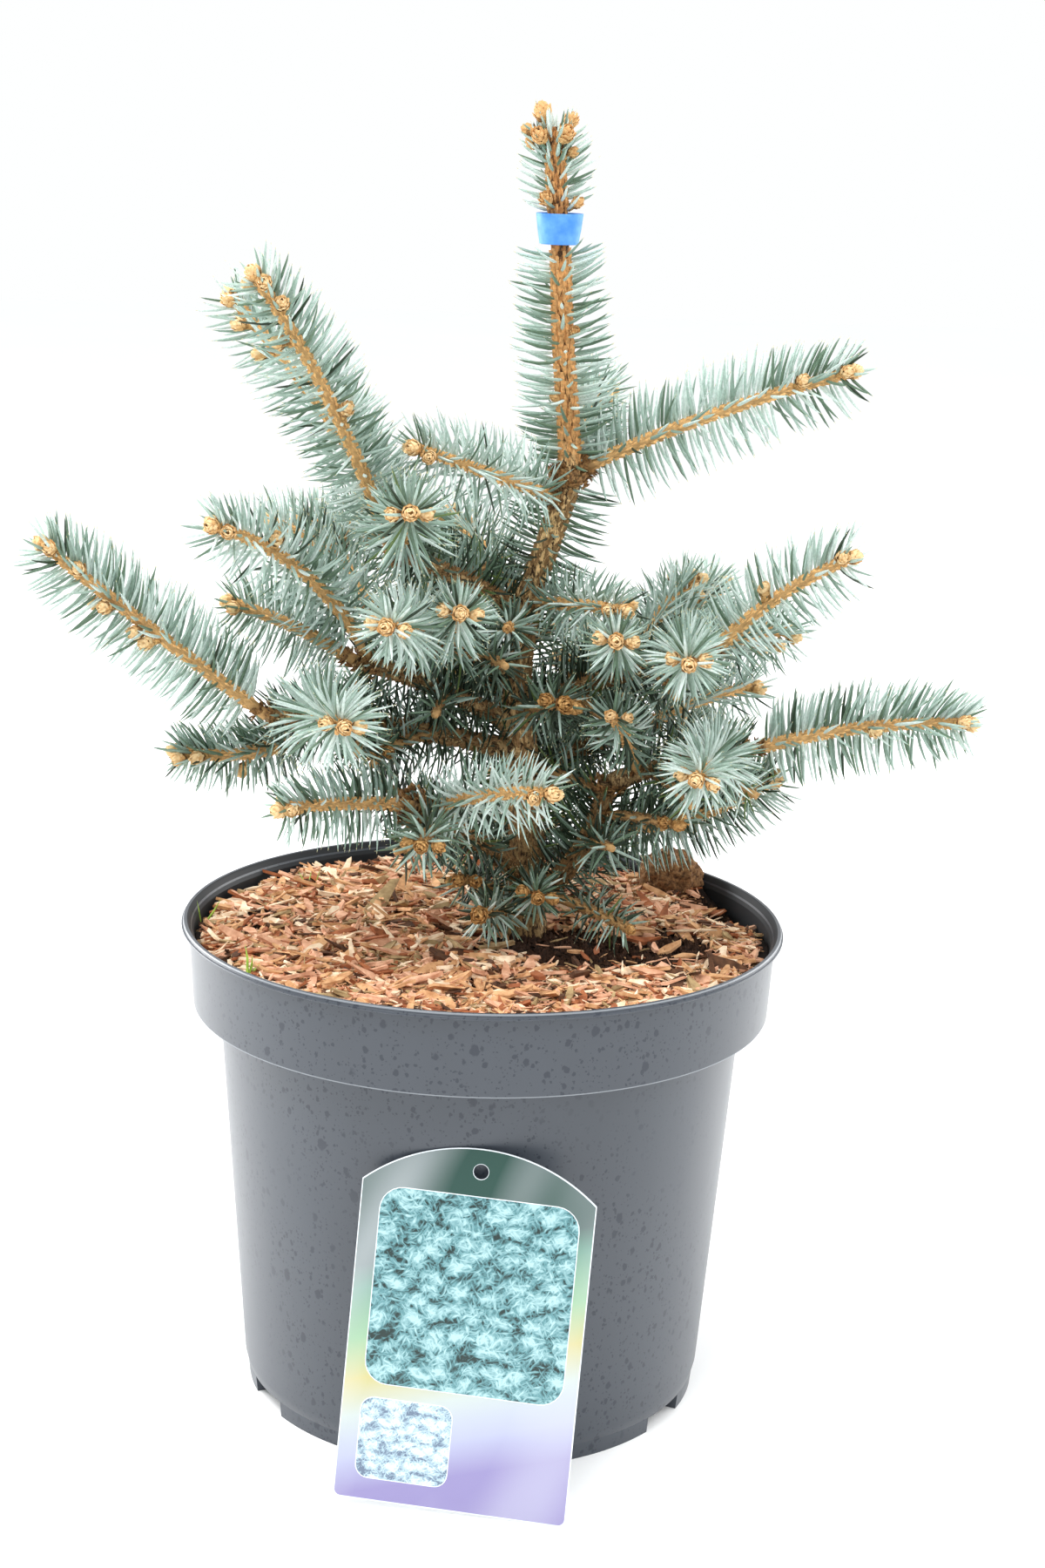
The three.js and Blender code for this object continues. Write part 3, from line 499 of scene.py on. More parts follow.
class Heap:
    """Many small closed shapes, kept as arrays and joined as one mesh."""

    def __init__(self):
        self.points = []
        self.faces = []
        self.size = 0

    def add(self, copies, faces):
        """Copies is an array of (copy, point, 3). Faces index one copy's points."""
        number, points = copies.shape[:2]
        if number:
            starts = self.size + np.arange(number)[:, None] * points
            for face in faces:
                self.faces.extend((starts + np.array(face)).tolist())
            self.points.append(copies.reshape(-1, 3))
            self.size += number * points

    def piece(self, name, material, slot):
        """The heap as one piece of the object, with flat faces."""
        mesh = bpy.data.meshes.new(name)
        mesh.from_pydata(np.concatenate(self.points), [], self.faces)
        finish_piece(name, mesh, material, smooth=False)


def spin_profile(profile, segments):
    """A closed shell: a line of (radius, height) points spun round Z. The line goes from axis to
    axis, or ends where it starts."""
    bm = bmesh.new()
    points = [bm.verts.new((radius, 0, height)) for radius, height in profile]
    lines = [bm.edges.new(pair) for pair in zip(points, points[1:])]
    bmesh.ops.spin(bm, geom=points + lines, cent=(0, 0, 0), axis=(0, 0, 1), angle=2 * math.pi,
                   steps=segments, use_merge=True)
    bmesh.ops.remove_doubles(bm, verts=bm.verts, dist=0.01 * MM)
    bmesh.ops.recalc_face_normals(bm, faces=bm.faces)
    return bm


def soften(bm, offset, least_turn=25, segments=2):
    """Bevels each edge whose faces turn by more than an angle, in degrees."""
    turn = math.radians(least_turn)
    sharp = [edge for edge in bm.edges if edge.is_manifold and edge.calc_face_angle() > turn]
    bmesh.ops.bevel(bm, geom=sharp, offset=offset, segments=segments, profile=0.5,
                    affect="EDGES", material=-1, clamp_overlap=True)


# The pot


def pot_profile(pot):
    """Half of the pot's section, from the middle of its underside to the middle of its floor."""
    lip_foot = pot.height - pot.lip_depth
    ledge = pot.band_level + pot.wall
    lip = pot.lip_radius
    return (
        (0, 0),
        (pot.pad_radius, 0),
        (pot.pad_radius + 1 * MM, pot.recess),
        (pot.feet_radius + 0.6 * MM, pot.recess),
        (pot.body_foot, pot.body_level),
        (pot.body_top, pot.band_level),
        (pot.band_foot, pot.band_level),
        (pot.band_top, lip_foot - 0.2 * MM),
        (lip - 0.3 * MM, lip_foot),
        (lip, lip_foot + 0.3 * MM),
        (lip - 0.1 * MM, lip_foot + 0.9 * MM),
        (lip - 0.8 * MM, lip_foot + 1.1 * MM),
        (lip - 0.8 * MM, pot.height - 0.5 * MM),
        (lip - 1.2 * MM, pot.height),
        (lip - pot.lip_width, pot.height - 0.1 * MM),
        (lip - pot.lip_width - 0.7 * MM, pot.height - 1 * MM),
        (pot.band_top - pot.wall, pot.height - 5 * MM),
        (pot.band_foot - pot.wall, ledge),
        (pot.body_top - pot.wall, ledge),
        (pot.feet_radius - pot.wall, pot.floor_level),
        (0, pot.floor_level),
    )


def add_feet(bm, pot):
    """The feet: each is a stretch of a ring, with the gaps between them left open."""
    inner = pot.feet_radius - pot.feet_width
    top = pot.recess + 0.4 * MM
    part = 2 * math.pi / pot.feet
    for foot in range(pot.feet):
        start = pot.first_gap + part * foot + pot.foot_gap / 2
        section = ((inner, 0), (pot.feet_radius, 0), (pot.feet_radius + 0.7 * MM, top),
                   (inner, top))
        points = [bm.verts.new((radius * math.cos(start), radius * math.sin(start), height))
                  for radius, height in section]
        face = bm.faces.new(points)
        bmesh.ops.spin(bm, geom=points + list(face.edges) + [face], cent=(0, 0, 0),
                       axis=(0, 0, 1), angle=part - pot.foot_gap, steps=18)


def inside_shade_mask(tree, pot):
    """1 on the wall inside the band, painted in shade, and 0 elsewhere, by distance from the pot's
    axis.
    """
    across, deep, level = split_node(tree, place_node(tree))
    squares = math_node(tree, "ADD", math_node(tree, "MULTIPLY", across, across),
                        math_node(tree, "MULTIPLY", deep, deep))
    radius = math_node(tree, "SQRT", squares)
    slope = (pot.band_top - pot.band_foot) / (pot.height - pot.band_level)
    wall = math_node(tree, "MULTIPLY", math_node(tree, "SUBTRACT", level, pot.band_level), slope)
    middle = math_node(tree, "ADD", wall, pot.band_foot - pot.wall / 2)
    lip = math_node(tree, "GREATER_THAN", level, pot.height - pot.lip_depth)
    flare = pot.lip_radius - pot.lip_width - pot.band_top + pot.wall / 2
    middle = math_node(tree, "ADD", middle, math_node(tree, "MULTIPLY", lip, flare))
    within = math_node(tree, "GREATER_THAN", middle, radius)
    high = math_node(tree, "GREATER_THAN", level, pot.band_level + pot.wall / 2)
    return math_node(tree, "MULTIPLY", within, high)


def painted_edge_highlights(tree, pot):
    """Painted highlights on the band's lower edge and the lip's upper edge: their strength, else 0.
    """
    level = split_node(tree, place_node(tree))["Z"]
    band = math_node(tree, "COMPARE", level, pot.band_level + 0.2 * MM, 0.35 * MM)
    lip = math_node(tree, "COMPARE", level, pot.height - 0.5 * MM, 0.3 * MM)
    return math_node(tree, "MULTIPLY", greatest(tree, (band, lip)), 0.55)


# Drops of water by size: cells a metre, reach in a cell, squash along Z, share of dry cells
DROP_SIZES = ((150, 0.34, 0.75, 0.66), (260, 0.38, 0.8, 0.5), (420, 0.4, 0.85, 0.5),
              (760, 0.4, 1.0, 0.5))


def drops_mask(tree):
    """How much a drop of water shows, in patches, and 0 elsewhere."""
    warp = pattern_node(tree, "Noise", place_node(tree), 520.0, Detail=1.0)["Color"]
    sway = vector_node(tree, "SCALE", warp, 1.6 * MM)
    masks = []
    for scale, size, tall, dry in DROP_SIZES:
        place = vector_node(tree, "ADD", place_node(tree, (1, 1, tall)), sway)
        cells = pattern_node(tree, "Voronoi", place, scale, Randomness=1.0)
        draws = add_node(tree, "ShaderNodeSeparateColor", {"Color": cells["Color"]}).outputs
        reach = math_node(tree, "MULTIPLY_ADD", draws["Red"], size * 0.7, size * 0.3)
        inside = math_node(tree, "SUBTRACT", reach, cells["Distance"])
        drop = math_node(tree, "MULTIPLY", inside, 14.0, clamp=True)
        chosen = math_node(tree, "GREATER_THAN", draws["Green"], dry)
        masks.append(math_node(tree, "MULTIPLY", drop, chosen))
    area = noise_node(tree, 11, 2)
    wet = math_node(tree, "MULTIPLY", math_node(tree, "SUBTRACT", area, 0.34), 5.0, clamp=True)
    drops = math_node(tree, "MULTIPLY", greatest(tree, masks), wet)
    return math_node(tree, "MULTIPLY", drops, 0.9)


def pot_finish(pot):
    """Satin slate plastic with fine grain, painted edge highlights, painted shade inside, and drops
    of water.
    """
    material, tree, shader = start_finish("pot_plastic", 0.3, 0.45)
    shader.inputs["Coat Weight"].default_value = 0.3
    shader.inputs["Coat Roughness"].default_value = 0.38
    wander = noise_node(tree, 22, 4, 0.6, (1, 1, 0.35))
    base = ramp_node(tree, wander, ((0.32, darker(pot.plastic, 0.88)), (0.7, pot.plastic)))
    tint = mix_colours(tree, drops_mask(tree), base, pot.splash)
    # Painted highlights: thin pale lines along the band's foot and the lip's top edge
    tint = mix_colours(tree, painted_edge_highlights(tree, pot), tint, srgb(150, 156, 162))
    # Painted shade: the wall inside the band and lip takes the dark inside colour, and is made
    # rougher
    shaded = inside_shade_mask(tree, pot)
    tint = mix_colours(tree, shaded, tint, pot.inside)
    tree.links.new(tint, shader.inputs["Base Color"])
    rough = math_node(tree, "MULTIPLY_ADD", wander, 0.16, 0.3)
    rough = math_node(tree, "ADD", rough, math_node(tree, "MULTIPLY", shaded, 0.6), clamp=True)
    tree.links.new(rough, shader.inputs["Roughness"])
    bump_shader(tree, shader, noise_node(tree, 1400, 2), 0.05 * MM, 0.35)
    return material


class SPRUCE_OT_pot(Operator):
    """Builds the nursery pot with its band, lip and feet"""

    bl_idname = "spruce.pot"
    bl_label = "Pot"

    def execute(self, context):
        pot = context.scene.spruce_pot
        bm = spin_profile(pot_profile(pot), pot.segments)
        soften(bm, 0.25 * MM, 28)
        add_feet(bm, pot)
        bmesh.ops.recalc_face_normals(bm, faces=bm.faces)
        shell = mesh_piece("pot_shell", bm, pot_finish(pot), ("pot",))
        shell.data.set_sharp_from_angle(angle=math.radians(20))
        return {"FINISHED"}


# The limbs' lines


def unit(vectors):
    """Vectors made one long."""
    return vectors / np.linalg.norm(vectors, axis=-1, keepdims=True)


def turned(angle, first, second):
    """The directions at an array of angles from one direction toward another."""
    return np.cos(angle)[:, None] * first + np.sin(angle)[:, None] * second


def heading_vector(heading, rise):
    """The direction of a heading and a rise, in degrees."""
    around, climb = math.radians(heading), math.radians(rise)
    return np.array((math.cos(around) * math.cos(climb), math.sin(around) * math.cos(climb),
                     math.sin(climb)))


def smooth_through(places, values, at):
    """A smooth curve through values, with the mean of its neighbours' slopes at each."""
    slopes = np.diff(values) / np.diff(places)
    slopes = np.concatenate(([0], (slopes[1:] + slopes[:-1]) / 2, [0]))
    index = np.clip(np.searchsorted(places, at) - 1, 0, len(places) - 2)
    span = places[index + 1] - places[index]
    part = (at - places[index]) / span
    rest = 1 - part
    return (values[index] * (1 + 2 * part) * rest ** 2
            + values[index + 1] * (1 + 2 * rest) * part ** 2
            + span * part * rest * (slopes[index] * rest - slopes[index + 1] * part))


class Limb:
    """A limb's middle line and radius, in metres, measured along it from its base."""

    def __init__(self, points, base, tip, reference=UP):
        self.points = points
        steps = np.linalg.norm(np.diff(points, axis=0), axis=1)
        self.reach = np.concatenate(([0.0], np.cumsum(steps)))
        self.length = self.reach[-1]
        self.base = base
        self.tip = tip
        self.reference = reference

    def at(self, distance):
        """The middle line's points at some distances."""
        return np.stack([np.interp(distance, self.reach, part) for part in self.points.T], -1)

    def axes(self, distance):
        """Unit vectors along, across and over the limb."""
        step = 0.02 * self.length
        ahead = self.at(np.clip(distance + step, 0, self.length))
        behind = self.at(np.clip(distance - step, 0, self.length))
        along = unit(ahead - behind)
        across = unit(np.cross(along, self.reference))
        return along, across, np.cross(across, along)

    def radius(self, distance):
        """The limb's radius at some distances."""
        return np.interp(distance, (0, self.length), (self.base, self.tip))


class Trunk(Limb):
    """The trunk, whose line and radius follow its height."""

    def __init__(self):
        heights = np.linspace(TRUNK_HEIGHTS[0], TRUNK_TIP, 240)
        offsets = smooth_through(TRUNK_HEIGHTS, TRUNK_OFFSETS, heights)
        points = np.stack((offsets, 0 * heights, heights), -1) * MM
        super().__init__(points, 0, 0, np.array((0.0, 1.0, 0.0)))

    def radius(self, distance):
        """The trunk's radius at some distances."""
        heights = np.interp(distance, self.reach, self.points[:, 2]) / MM
        return np.interp(heights, TRUNK_RADIUS_HEIGHTS, TRUNK_RADII) * MM

    def distance_at(self, height):
        """How far along the trunk a height lies, in millimetres above the floor."""
        return np.interp(height * MM, self.points[:, 2], self.reach)


def bowed_limb(start, heading, rise, reach, bow, base, tip):
    """A limb that bows upwards between its ends, all given in millimetres but the start."""
    end = start + heading_vector(heading, rise) * reach * MM
    middle = (start + end) / 2 + heading_vector(heading, rise + 90) * 2 * bow * MM
    part = np.linspace(0, 1, 60)[:, None]
    points = start * (1 - part) ** 2 + 2 * middle * part * (1 - part) + end * part ** 2
    return Limb(points, base * MM, tip * MM)


@dataclass
class Stem:
    """A needled stem: its limb, the length and coat of its needles, and what it carries."""

    limb: Limb
    bare: float
    needle: float
    coat: str
    buds: int
    seed: int


@cache
def trunk_line():
    """The trunk's limb."""
    return Trunk()


@cache
def boughs():
    """Each bough's limb, by name."""
    limbs = {}
    for name, carrier, at, heading, rise, reach, bow, base, tip in BOUGHS:
        start = carrier_point(limbs, carrier, at)
        limbs[name] = bowed_limb(start, heading, rise, reach, bow, base, tip)
    return limbs


def carrier_point(limbs, carrier, at):
    """Where something grows from: a height on the trunk, or a share of a bough."""
    if carrier == "trunk":
        return trunk_line().at(trunk_line().distance_at(at))
    return limbs[carrier].at(at * limbs[carrier].length)


@cache
def stems():
    """The stems of all the masses, with their side twigs, by the rule that the solids follow."""
    grown = []
    for seed, row in enumerate(SHOOTS):
        _, carrier, at, heading, rise, reach, bow, bare, twigs, needle, coat = row
        start = carrier_point(boughs(), carrier, at)
        limb = bowed_limb(start, heading, rise, reach, bow, STEM_BASE, STEM_TIP)
        grown.append(Stem(limb, bare, needle * MM, coat, 3, seed))
        for i in range(twigs):
            turn = TWIG_TURN if i % 2 == 0 else -TWIG_TURN
            root = limb.at((TWIG_FIRST_AT + TWIG_NEXT_AT * i) * limb.length)
            part = reach * (TWIG_FIRST_SHARE - TWIG_NEXT_SHARE * i)
            twig = bowed_limb(root, heading + turn, rise, part, TWIG_BOW, STEM_TIP, TWIG_END)
            own = TWIG_SEED + 10 * seed + i
            grown.append(Stem(twig, TWIG_BARE, needle * MM, coat, 2, own))
    for seed, (carrier, at, heading, rise, reach) in enumerate(SMALL_TWIGS, SMALL_TWIG_SEED):
        start = carrier_point(boughs(), carrier, at)
        limb = bowed_limb(start, heading, rise, reach, SMALL_TWIG_BOW, STEM_TIP, TWIG_END)
        buds = 3 if reach > LONG_TWIG else 0
        grown.append(Stem(limb, SMALL_TWIG_BARE, SMALL_TWIG_NEEDLE * MM, "dark", buds, seed))
    return grown


# Bark


def limb_mesh(limb, start, end, around, row_step, shape):
    """A closed tube along a limb. Shape gives the radius at (distance, turn, point) arrays."""
    rows = max(2, round((end - start) / row_step))
    bm = bmesh.new()
    bmesh.ops.create_grid(bm, x_segments=around, y_segments=rows, size=1)
    flat = np.array([vertex.co for vertex in bm.verts])
    turn = flat[:, 0] * math.pi
    distance = start + (flat[:, 1] + 1) / 2 * (end - start)
    middle = limb.at(distance)
    _, across, over = limb.axes(distance)
    radius = shape(distance, turn, middle)[:, None]
    places = middle + radius * turned(turn, across, over)
    for vertex, place in zip(bm.verts, places):
        vertex.co = place
    bmesh.ops.remove_doubles(bm, verts=bm.verts, dist=0.005 * MM)
    ends = [edge for edge in bm.edges if edge.is_boundary]
    bmesh.ops.holes_fill(bm, edges=ends, sides=0)
    bmesh.ops.recalc_face_normals(bm, faces=bm.faces)
    return bm


def furrows(points, seed):
    """Rough bark from 0, in a furrow, to 1."""
    lift = Vector((0, 0, seed * 7.7))
    return np.array([
        0.6 * abs(noise.noise(Vector(place) + lift)) + 0.4 * abs(noise.noise(Vector(place) * 2.3))
        for place in points
    ])


# Heights between which the bark's colour goes from the oldest's to the leader's
OLD_BARK_TOP, LEADER_BARK_FOOT = 0.24, 0.41


def bark_finish(name, bark, shade=1.0):
    """Grey-brown rough bark at the foot, tan above, orange-tan on the leader; shade darkens it as
    painted shade.
    """
    material, tree, shader = start_finish(name, 0.85, 0.25)
    level = split_node(tree, place_node(tree))["Z"]
    climb = math_node(tree, "DIVIDE", math_node(tree, "SUBTRACT", level, OLD_BARK_TOP),
                      LEADER_BARK_FOOT - OLD_BARK_TOP, clamp=True)
    stops = ((0.0, bark.old_bark), (0.36, bark.young_bark), (0.9, bark.young_bark),
             (1.0, bark.leader_bark))
    by_height = ramp_node(tree, climb, [(place, darker(tint, shade)) for place, tint in stops])
    grain = noise_node(tree, 640, 6, 0.72, (1, 1, 0.45))
    # Where the bump is low the bark takes the furrow colour: partly its own, partly painted shade
    depth = ramp_node(tree, grain, ((0.42, (0, 0, 0)), (0.55, (1, 1, 1))))
    tint = mix_colours(tree, depth, bark.furrow, by_height)
    patches = noise_node(tree, 260, 4)
    pale = mix_colours(tree, 1.0, tint, ramp_node(tree, patches, (
        (0.34, (0.74, 0.7, 0.64)), (0.66, (1.28, 1.24, 1.16)))), "MULTIPLY")
    tree.links.new(pale, shader.inputs["Base Color"])
    bump_shader(tree, shader, grain, 0.35 * MM)
    return material


def trunk_slimness(height):
    """The trunk's wood as a share of its solid, which stands for the needles' feet as well."""
    return np.interp(height, (0.27, 0.32, 0.46, 0.5), (0.95, 0.83, 0.76, 0.88))


class SPRUCE_OT_trunk(Operator):
    """Builds the trunk and leader, with furrows, swollen whorls and a root flare"""

    bl_idname = "spruce.trunk"
    bl_label = "Trunk"

    def execute(self, context):
        bark = context.scene.spruce_bark
        trunk = trunk_line()
        foot = trunk.distance_at(BARK_FOOT)
        whorls = trunk.distance_at(np.array(WHORLS))

        def shape(distance, turn, middle):
            height = middle[:, 2]
            flare = bark.flare * np.exp(-(height - FLARE_LEVEL * MM) / bark.flare_height)
            lobes = 1 + 0.25 * np.sin(5 * turn)
            swell = np.exp(-((distance[:, None] - whorls) / (5 * MM)) ** 2).sum(1)
            age = np.clip((0.405 - height) / 0.03, 0.25, 1)
            around = np.stack((np.cos(turn), np.sin(turn)), -1) * 2.5
            rough = furrows(np.column_stack((around, distance * 1000 / 6)), 1)
            return (trunk.radius(distance) * trunk_slimness(height) + flare * lobes
                    + 1.3 * MM * swell + bark.relief * age * (2.2 * rough - 0.45))

        bm = limb_mesh(trunk, foot, trunk.length - 1 * MM, 48, bark.row_step, shape)
        mesh_piece("trunk_bark", bm, bark_finish("trunk_bark", bark), ("trunk",))
        return {"FINISHED"}


class SPRUCE_OT_boughs(Operator):
    """Builds the boughs, each rough and swollen where it leaves its carrier"""

    bl_idname = "spruce.boughs"
    bl_label = "Boughs"

    def execute(self, context):
        bark = context.scene.spruce_bark
        # Painted shade: the boughs' bark colours are darkened to 0.6 for the shade under the needles
        finish = bark_finish("bough_bark", bark, 0.6)
        # The wood is slimmer than the solid, which stands for the needles' feet as well
        for seed, (name, limb) in enumerate(boughs().items()):
            def shape(distance, turn, middle):
                collar = 1.4 * MM * np.exp(-((distance - 6 * MM) / (5 * MM)) ** 2)
                wood = limb.radius(distance) * bark.slimness
                return wood + collar + 0.9 * MM * (furrows(middle * 350, seed) - 0.2)

            bm = limb_mesh(limb, 1 * MM, limb.length + 1 * MM, 20, bark.row_step, shape)
            mesh_piece(name + "_bark", bm, finish, (name,))
        return {"FINISHED"}


# Needles, and the pegs that they grow on

TONES = ("silver", "blue", "grey", "green", "deep", "olive")
DARKEST = TONES.index("deep")
TONE_COLOURS = {
    "silver": srgb(196, 212, 206),
    "blue": srgb(166, 188, 178),
    "grey": srgb(130, 153, 140),
    "green": srgb(94, 118, 98),
    "deep": srgb(43, 59, 43),
    "olive": srgb(84, 106, 54),
}


@dataclass
class Coat:
    """How a stretch of stem is clothed: how close its needles are, how they lean, their tones,
    the kind of their pegs, how far they turn upwards, the wood's share, and their breadth."""

    density: float
    base_tilt: float
    end_tilt: float
    tones: tuple
    pegs: int = 0
    upward: float = 0.3
    wood: float = 1.0
    breadth: float = 1.0
    parting: float = 1.0


# The dull, dark and bough coats, on inner, low and old stems, hold more dark tones: partly older
# needles, partly painted shade inside the crown
COATS = {
    "bright": Coat(1.0, 76, 38, (0.38, 0.32, 0.18, 0.1, 0.02, 0.0)),
    "full": Coat(0.98, 74, 36, (0.32, 0.32, 0.2, 0.12, 0.04, 0.0), 0, 0.3, 1, 1.22),
    "broad": Coat(0.76, 74, 36, (0.36, 0.32, 0.2, 0.1, 0.02, 0.0), 0, 0.3, 1, 1.25),
    "dense": Coat(1.3, 72, 40, (0.14, 0.28, 0.27, 0.2, 0.1, 0.01), 0, 0.3, 1, 1.1),
    "blue": Coat(1.0, 75, 40, (0.22, 0.33, 0.25, 0.15, 0.05, 0.0)),
    "dull": Coat(0.95, 74, 42, (0.12, 0.22, 0.26, 0.22, 0.17, 0.01)),
    "dark": Coat(0.68, 72, 42, (0.05, 0.16, 0.22, 0.24, 0.28, 0.05), 1),
    "leader": Coat(0.76, 86, 60, (0.3, 0.3, 0.22, 0.18, 0.0, 0.0), 2, 0.0, 0.83, 1.35),
    "crest": Coat(1.3, 40, 20, (0.3, 0.3, 0.24, 0.16, 0.0, 0.0), 2, 0.0, 0.83, 1.1),
    "upper": Coat(0.75, 88, 84, (0.05, 0.25, 0.32, 0.26, 0.12, 0.0), 1, 0.0, 0.83, 1.15),
    "bough": Coat(1.05, 68, 52, (0.02, 0.1, 0.2, 0.28, 0.36, 0.04), 1, 0.3, 0.74, 1.0, 0.8),
    "stubs": Coat(1.15, 80, 76, (1, 0, 0, 0, 0, 0), 1, 0.0, 0.92),
    "trunk": Coat(0.4, 80, 76, (0.0, 0.06, 0.18, 0.3, 0.32, 0.14), 1, 0.0, 0.95, 1.0, 1.9),
}

# How far the boughs are bare at their base
BARE_BASE = 9
BARE_BASES = {"bough_low_left": 30, "bough_low_right": 16}

# The trunk's stretches of needles, and those that have shed all but the pegs: from, to, needle
# length, coat
TRUNK_STRETCHES = (
    (206, 342, 18, "trunk"),
    (345, 388, 19, "upper"),
    (395, 479, 18.5, "leader"),
    (495, 523, 17, "leader"),
    (513, 527, 17, "crest"),
)
SHED_STRETCHES = ((199, 345, 18, "stubs"), (395, 481, 18, "leader"), (495, 523, 18, "leader"))
BOUGH_NEEDLE = 18 * MM

# How far a needle's base stands off its stem, on its peg
PEG_RISE = 0.7 * MM


@dataclass
class Needles:
    """Needles in arrays: their bases, first and last directions, lengths and tones, the stem's
    direction and side there, the bark's area for a peg, the peg's kind, and their breadths."""

    root: np.ndarray
    first: np.ndarray
    last: np.ndarray
    size: np.ndarray
    tone: np.ndarray
    along: np.ndarray
    side: np.ndarray
    room: np.ndarray
    pegs: np.ndarray
    breadth: np.ndarray

    def chosen(self, mask):
        """The needles that a mask keeps."""
        return Needles(*(part[mask] for part in vars(self).values()))


def joined(groups):
    """Several groups of needles as one."""
    return Needles(*map(np.concatenate, zip(*(vars(group).values() for group in groups))))


# Needles part from the side of a stem that faces this way, and from its far side
FRONT = np.array((0.0, -0.97, 0.24))


def clothe(limb, start, end, full, coat, seed):
    """One stretch of needles, spiralling up the stem by the golden turn."""
    settings = bpy.context.scene.spruce_needles
    chance = np.random.default_rng(seed)
    coat = COATS[coat]
    number = int((end - start) * settings.per_metre * coat.density)
    index = np.arange(number)
    step = (end - start) / number
    distance = start + (index + 0.5) * step + chance.uniform(-0.7, 0.7, number) * step
    part = np.clip(distance / limb.length, 0, 1)
    turn = index * GOLDEN_TURN + chance.uniform(0, 2 * math.pi) + chance.normal(0, 0.12, number)
    turn = turn + coat.upward * np.cos(turn)
    along, across, over = limb.axes(distance)
    front = np.stack((across @ FRONT, over @ FRONT))
    toward = np.arctan2(front[1], front[0])
    parting = settings.parting * coat.parting * (front ** 2).sum(0)
    turn = turn + parting * np.sin(2 * (turn - toward))
    side = turned(turn, across, over)
    radius = limb.radius(distance) * coat.wood
    root = limb.at(distance) + side * (radius + PEG_RISE)[:, None]
    tilt = np.radians(coat.base_tilt + (coat.end_tilt - coat.base_tilt) * part ** 4)
    tilt = tilt + chance.normal(0, 0.1, number) + settings.sag * np.clip(-side[:, 2], 0, 1)
    sway = chance.normal(0, 0.1, number)[:, None] * np.cross(along, side)
    bend = tilt - np.abs(chance.normal(0.16, 0.1, number))
    size = full * settings.scale * (1 + (settings.tip_share - 1) * part ** 6)
    size = size + chance.normal(0, 1, number) * settings.spread
    size = size * (0.74 + 0.26 * np.clip((distance - start) / (9 * MM), 0, 1))
    spray = chance.choice(len(TONES), size=number // 3 + 1, p=np.array(coat.tones))
    return Needles(
        root=root,
        first=unit(turned(tilt + 0.08, along, side) + sway),
        last=unit(turned(bend, along, side) + sway + UP * 0.05),
        size=size,
        tone=np.repeat(spray, 3)[:number],
        along=along,
        side=side,
        room=2 * math.pi * radius * step,
        pegs=np.full(number, coat.pegs),
        breadth=np.full(number, coat.breadth),
    )


def clothe_trunk(stretches, first_seed):
    """The needles of some stretches of the trunk, as a list of groups."""
    trunk = trunk_line()
    return [clothe(trunk, trunk.distance_at(low), trunk.distance_at(high), size * MM, coat, seed)
            for seed, (low, high, size, coat) in enumerate(stretches, first_seed)]


def clear_of_wood(needles):
    """A mask of the needles whose outer half stays out of the trunk, the boughs and the soil."""
    limbs = [trunk_line(), *boughs().values()]
    places = [np.arange(0, limb.length, 2 * MM) for limb in limbs]
    wood = np.concatenate([limb.at(place) for limb, place in zip(limbs, places)])
    radii = np.concatenate([limb.radius(place) for limb, place in zip(limbs, places)])
    clear = np.ones(len(needles.size), bool)
    for part in (0.5, 0.75, 1.0):
        point = needle_path(needles, part)
        for block in np.array_split(np.arange(len(point)), 24):
            away = np.linalg.norm(point[block, None] - wood[None], axis=2)
            clear[block] &= (away > radii + 0.4 * MM).all(1)
        clear &= point[:, 2] > soil_height(point[:, 0], point[:, 1]) + 2 * MM
    return clear


def needle_path(needles, part):
    """The point at a share of each needle's length."""
    bend = needles.first * part + (needles.last - needles.first) * part ** 2 / 2
    return needles.root + bend * needles.size[:, None]


@cache
def all_needles():
    """Every needle of the plant, in arrays."""
    groups = []
    for stem in stems():
        limb = stem.limb
        ends = max(stem.bare * limb.length, 4 * MM), limb.length - 3 * MM
        groups.append(clothe(limb, *ends, stem.needle, stem.coat, stem.seed))
    for seed, (name, limb) in enumerate(boughs().items(), BOUGH_SEED):
        ends = BARE_BASES.get(name, BARE_BASE) * MM, limb.length - 2 * MM
        groups.append(clothe(limb, *ends, BOUGH_NEEDLE, "bough", seed))
    needles = joined(groups + clothe_trunk(TRUNK_STRETCHES, TRUNK_SEED))
    shade(needles)
    return needles.chosen(clear_of_wood(needles))


# Where the shade is deepest, in x, and the height over which it dies away
SHADE_MIDDLE, SHADE_FADE = 16 * MM, 60 * MM


def shade(needles):
    """Darker tones for many needles near the trunk and low down: partly old needles' colour, partly
    painted shade.
    """
    settings = bpy.context.scene.spruce_needles
    chance = np.random.default_rng(61)
    x, y, z = needles.root.T
    near = 1 - np.hypot(x - SHADE_MIDDLE, y) / settings.shade_reach
    below = (settings.shade_top - z) / SHADE_FADE
    likely = np.clip(2.2 * near, 0, 1) * np.clip(below, 0, 1)
    for strength in (settings.shade_depth, settings.shade_depth * 0.6):
        step = (chance.uniform(size=len(z)) < likely * strength) & (needles.tone < DARKEST)
        needles.tone = needles.tone + step


# A needle's rings of corners: places and half widths, as shares. Its body ends inside its tip
NEEDLE_STATIONS = (0.0, 0.12, 0.42, 0.78)
NEEDLE_WIDTHS = (0.6, 1.0, 0.96, 0.64)
NEEDLE_CORNERS, NEEDLE_DEPTH, BODY_END = 4, 0.86, 0.985
TIP_START, TIP_WIDTH = 0.93, 0.24


